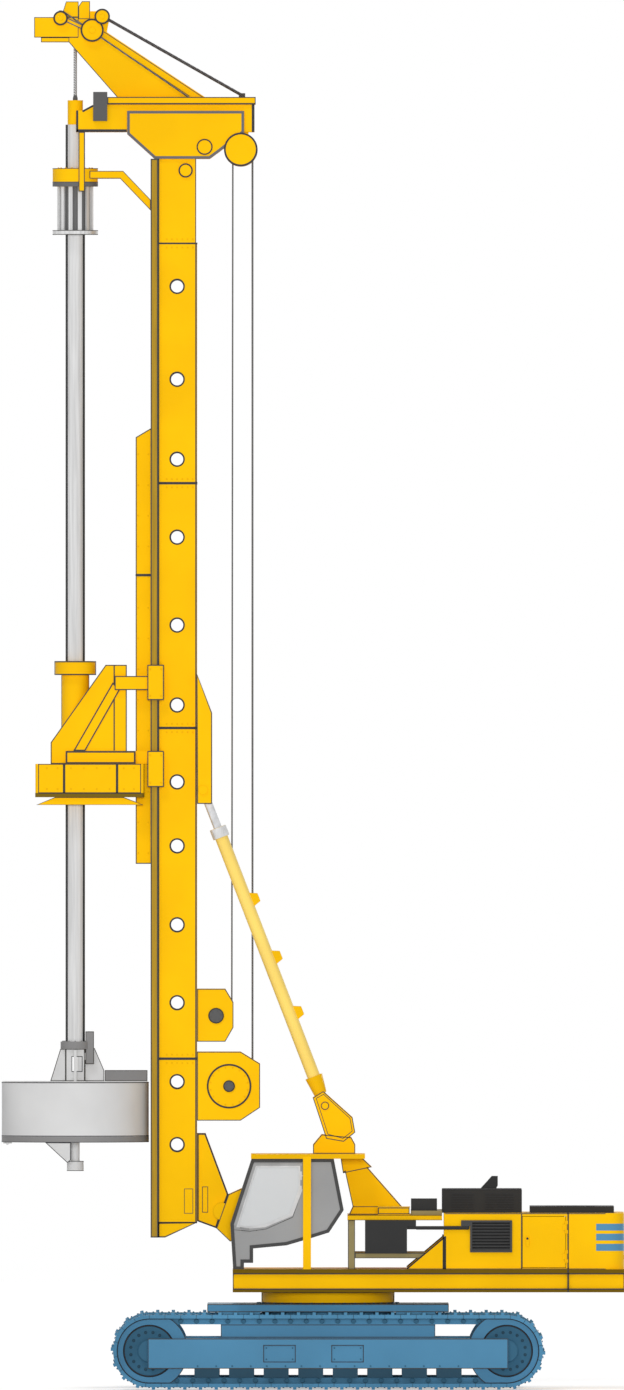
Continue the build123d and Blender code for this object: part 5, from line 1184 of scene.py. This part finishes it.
def make_drive_details():
    """Gearbox band and seams, bolts, collar lines and motor caps of the rotary drive."""
    face = -DRIVE_SIDE
    flat = DRIVE_SIDE - DRIVE_CORNER
    band, seams, bolts = Shape(), Shape(), Shape()
    band.box(DRIVE_X, (face - 3, face), BAND_Z).both_sides()
    for x, sign in zip(DRIVE_X, (-1, 1)):
        for side in (-1, 1):
            section = square((DRIVE_CORNER - 1, DRIVE_CORNER + 3), BAND_Z)
            band.corner((x, side * flat), (sign, side), section, 6)
        band.box(sorted((x + sign * DRIVE_CORNER, x + sign * (DRIVE_CORNER + 3))), (-flat, flat), BAND_Z)
    band.place_flat("drive_band", "band", "sledge", "yellow_paint")
    for x, proud, z in (
            ((-3713, -3681), 5, (8344, 8748)), ((-2971, -2939), 5, (8344, 8748)), (DRIVE_X, 3, (8740, 8750)),
            (DRIVE_X, 5, (8334, 8352)), ((-4060, -4049), 3, (8344, 8750)), ((-2630, -2619), 3, (8344, 8750))):
        seams.box(x, (face - proud, face), z)
    seams.outline([(-3825, 8284), (-2866, 8284), (-2586, 8176), (-4088, 8176)], (-433, -429), 9)
    seams.both_sides().place_flat("drive_seams", "outline", "sledge")
    for x in (-3600, -3420, -3240, -3060, -3790, -3940, -2860, -2720):
        for z in (8400, 8690):
            bolts.bolt((x, face, z), OUT, 22)
    bolts.both_sides().place_bolts("drive_bolts", "sledge")
    collar = Shape()
    for z in (9996, 10174):
        collar.ring((KELLY_X, 0, z), UP, 286, 276, 18, 72)
    collar.ring((KELLY_X, 0, 8932), UP, 196, 188, 14, 64)
    for reach, z in ((283, (9996, 10192)), (187, (8946, 9996))):
        for side in (-1, 1):
            ends = sorted((KELLY_X + side * reach, KELLY_X + side * (reach + 9)))
            collar.box(ends, (-14, 14), z)
    collar.place("collar_lines", "outline", "sledge")
    motors = Shape()
    for y in (-106, 106):
        motors.lathe((-3195, y, 9370), UP, [(88, 0), (88, 20), (70, 34), (40, 40)], 32)
        motors.bolt_circle((-3195, y, 9372), UP, 74, 8, 22)
    motors.place("motor_caps", "hub dark", "sledge")


def make_sledge_details():
    """Edge lines of the sledge's plates, bolts on its clamps."""
    gusset = [(-3886, 8750), (-3886, 9052), (-3116, 10139), (-2820, 10139), (-2820, 8750)]
    brace = [(-3570, 8932), (-3401, 8932), (-2908, 9800), (-3018, 9892)]
    clamps = ((9646, 10139), (8428, 8932))
    rows = [(gusset, -250, 14), (brace, -260, 18), (square((-3676, -2696), (8752, 8932)), -290, 24),
            (square((-2989, -2513), (9786, 9982)), -330, 14)]
    rows += [(square((-2530, -2299), z), -434, 14) for z in clamps]
    draw_lines("sledge_edges", "seam", "sledge", rows, [((-2996, 8940), (-2996, 10130), -250, 18)])
    bolts = Shape()
    for low, high in clamps:
        for z in (low + 60, high - 60):
            for x in (-2490, -2340):
                bolts.bolt((x, -434.5, z), OUT, 24)
    bolts.both_sides().place_bolts("clamp_bolts", "sledge")


# Tool

KELLY_Z = (4860, 17709)
BUCKET_RING = (1034, 1026)


def make_tool_details():
    """Ribs of the kelly bar, flange, bolts and lines of the tool head, and bands and rings of the bucket."""
    ribs = Shape()
    for turn in (210, 330):
        way = Vector((math.cos(math.radians(turn)), math.sin(math.radians(turn)), 0))
        side = Vector((-way.y, way.x, 0))
        loop = [Vector((KELLY_X, 0, 0)) + way * a + side * b for a, b in
                ((120, -22.8), (143.2, -22.8), (143.2, 22.8), (120, 22.8))]
        ribs.loft([[point + Vector((0, 0, z)) for point in loop] for z in KELLY_Z])
    ribs.place_flat("kelly_ribs", "rib black", "kelly", "tool_steel")
    profile = [(150, 0), (206.5, 0), (206.5, 101), (150, 103)]
    flange = Shape().lathe((KELLY_X, 0, 4757), UP, profile, 64, closed=True)
    flange.place("tool_flange", "dark tool", "kelly", "tool_steel")
    band = Shape().hoop((KELLY_X, 0, 3451), 1032, 1022, 79, 96)
    band.place("floor_band", "dark tool", "bucket_floor", "tool_steel")
    rings = Shape()
    for z in (4282, 3534):
        rings.ring((KELLY_X, 0, z), UP, *BUCKET_RING, 12, 96)
    rings.place("bucket_rings", "outline", "kelly", "tool_steel")
    rings = Shape().ring((KELLY_X, 0, 3450), UP, *BUCKET_RING, 9, 96)
    for z in (3046, 3176):
        rings.ring((KELLY_X, 0, z), UP, 119, 112, 9, 48)
    tooth = [(KELLY_X - 419, 3450), (KELLY_X - 60, 3450), (KELLY_X - 60, 3200), (KELLY_X - 109, 3164)]
    rings.outline(tooth, (-831, -827), 10)
    rings.place("floor_lines", "outline", "bucket_floor", "tool_steel")
    left = [(-3675, 4756), (-3752, 4756), (-3892, 4305), (-3675, 4305)]
    right = [(-3409, 4768), (-3270, 4768), (-3136, 4455), (-3136, 4305), (-3409, 4305)]
    rows = [(left, -20, 10), (right, -20, 10), (square((-3675, -3409), (4305, 4756)), -133, 10),
            (square((-3399, -3280), (4544, 5002)), -112, 10), (square((-3129, -2530), (4305, 4458)), -70, 9)]
    draw_lines("tool_lines", "seam", "kelly", rows, mirrored=False)
    window = square((-3594, -3440), (4435, 4655))
    draw_lines("pin_window", "outline", "kelly", [(window, -134, 10)], mirrored=False)
    bolts = Shape().bolt_circle((KELLY_X, 0, KELLY_Z[0] - 1), UP, 172, 12, 24)
    bolts.place_flat("flange_bolts", "dark tool", "kelly", "tool_steel")


# Floor

FLOOR_REACH = 150.0
FLOOR_LIFT = 0.46


def make_floor():
    """A wide floor at ground level, white to the camera where nothing shades it."""
    data = bpy.data.meshes.new("floor")
    limits = (-FLOOR_REACH, FLOOR_REACH)
    data.from_pydata([(x, y, -MM) for x, y in square(limits, limits)], [], [(0, 1, 2, 3)])
    tree, shader = new_material("floor")
    feed(shader, {"Base Color": (0.93, 0.93, 0.93, 1), "Roughness": 0.9, "Specular IOR Level": 0.0})
    lift = add_node(tree, "Emission", {"Color": (FLOOR_LIFT, FLOOR_LIFT, FLOOR_LIFT, 1)})
    both = add_node(tree, "AddShader", {0: shader.outputs[0], 1: lift.outputs[0]})
    feed(tree.nodes["Material Output"], {"Surface": shown_directly(tree, shader, both)})
    data.materials.append(MATERIALS["floor"])
    add_object("floor", data)


set_camera()
lamp("key", 0.45, (38, 0, -28), 12)
lamp("front", 1.8, (88, 0, 0), 8, gloss=False)
lamp("rim", 1.1, (58, 0, 150), 20)
set_world(0.3)
dress_nodes()
for make_part in (
        make_track_details, make_wheel_covers, make_wheel_guards, make_frame_details, make_ring_details,
        make_upper_details, make_counterweight_details, make_house_details, make_platform_details,
        make_cab_details, make_cab_interior, make_stay_details, make_foot_details, make_mast_details,
        make_casing_details, make_winch_details, make_ropes, make_head_details, make_jib_details,
        make_guide_details, make_drive_details, make_sledge_details, make_tool_details, make_floor):
    make_part()
bpy.context.scene.view_settings.view_transform = "Standard"
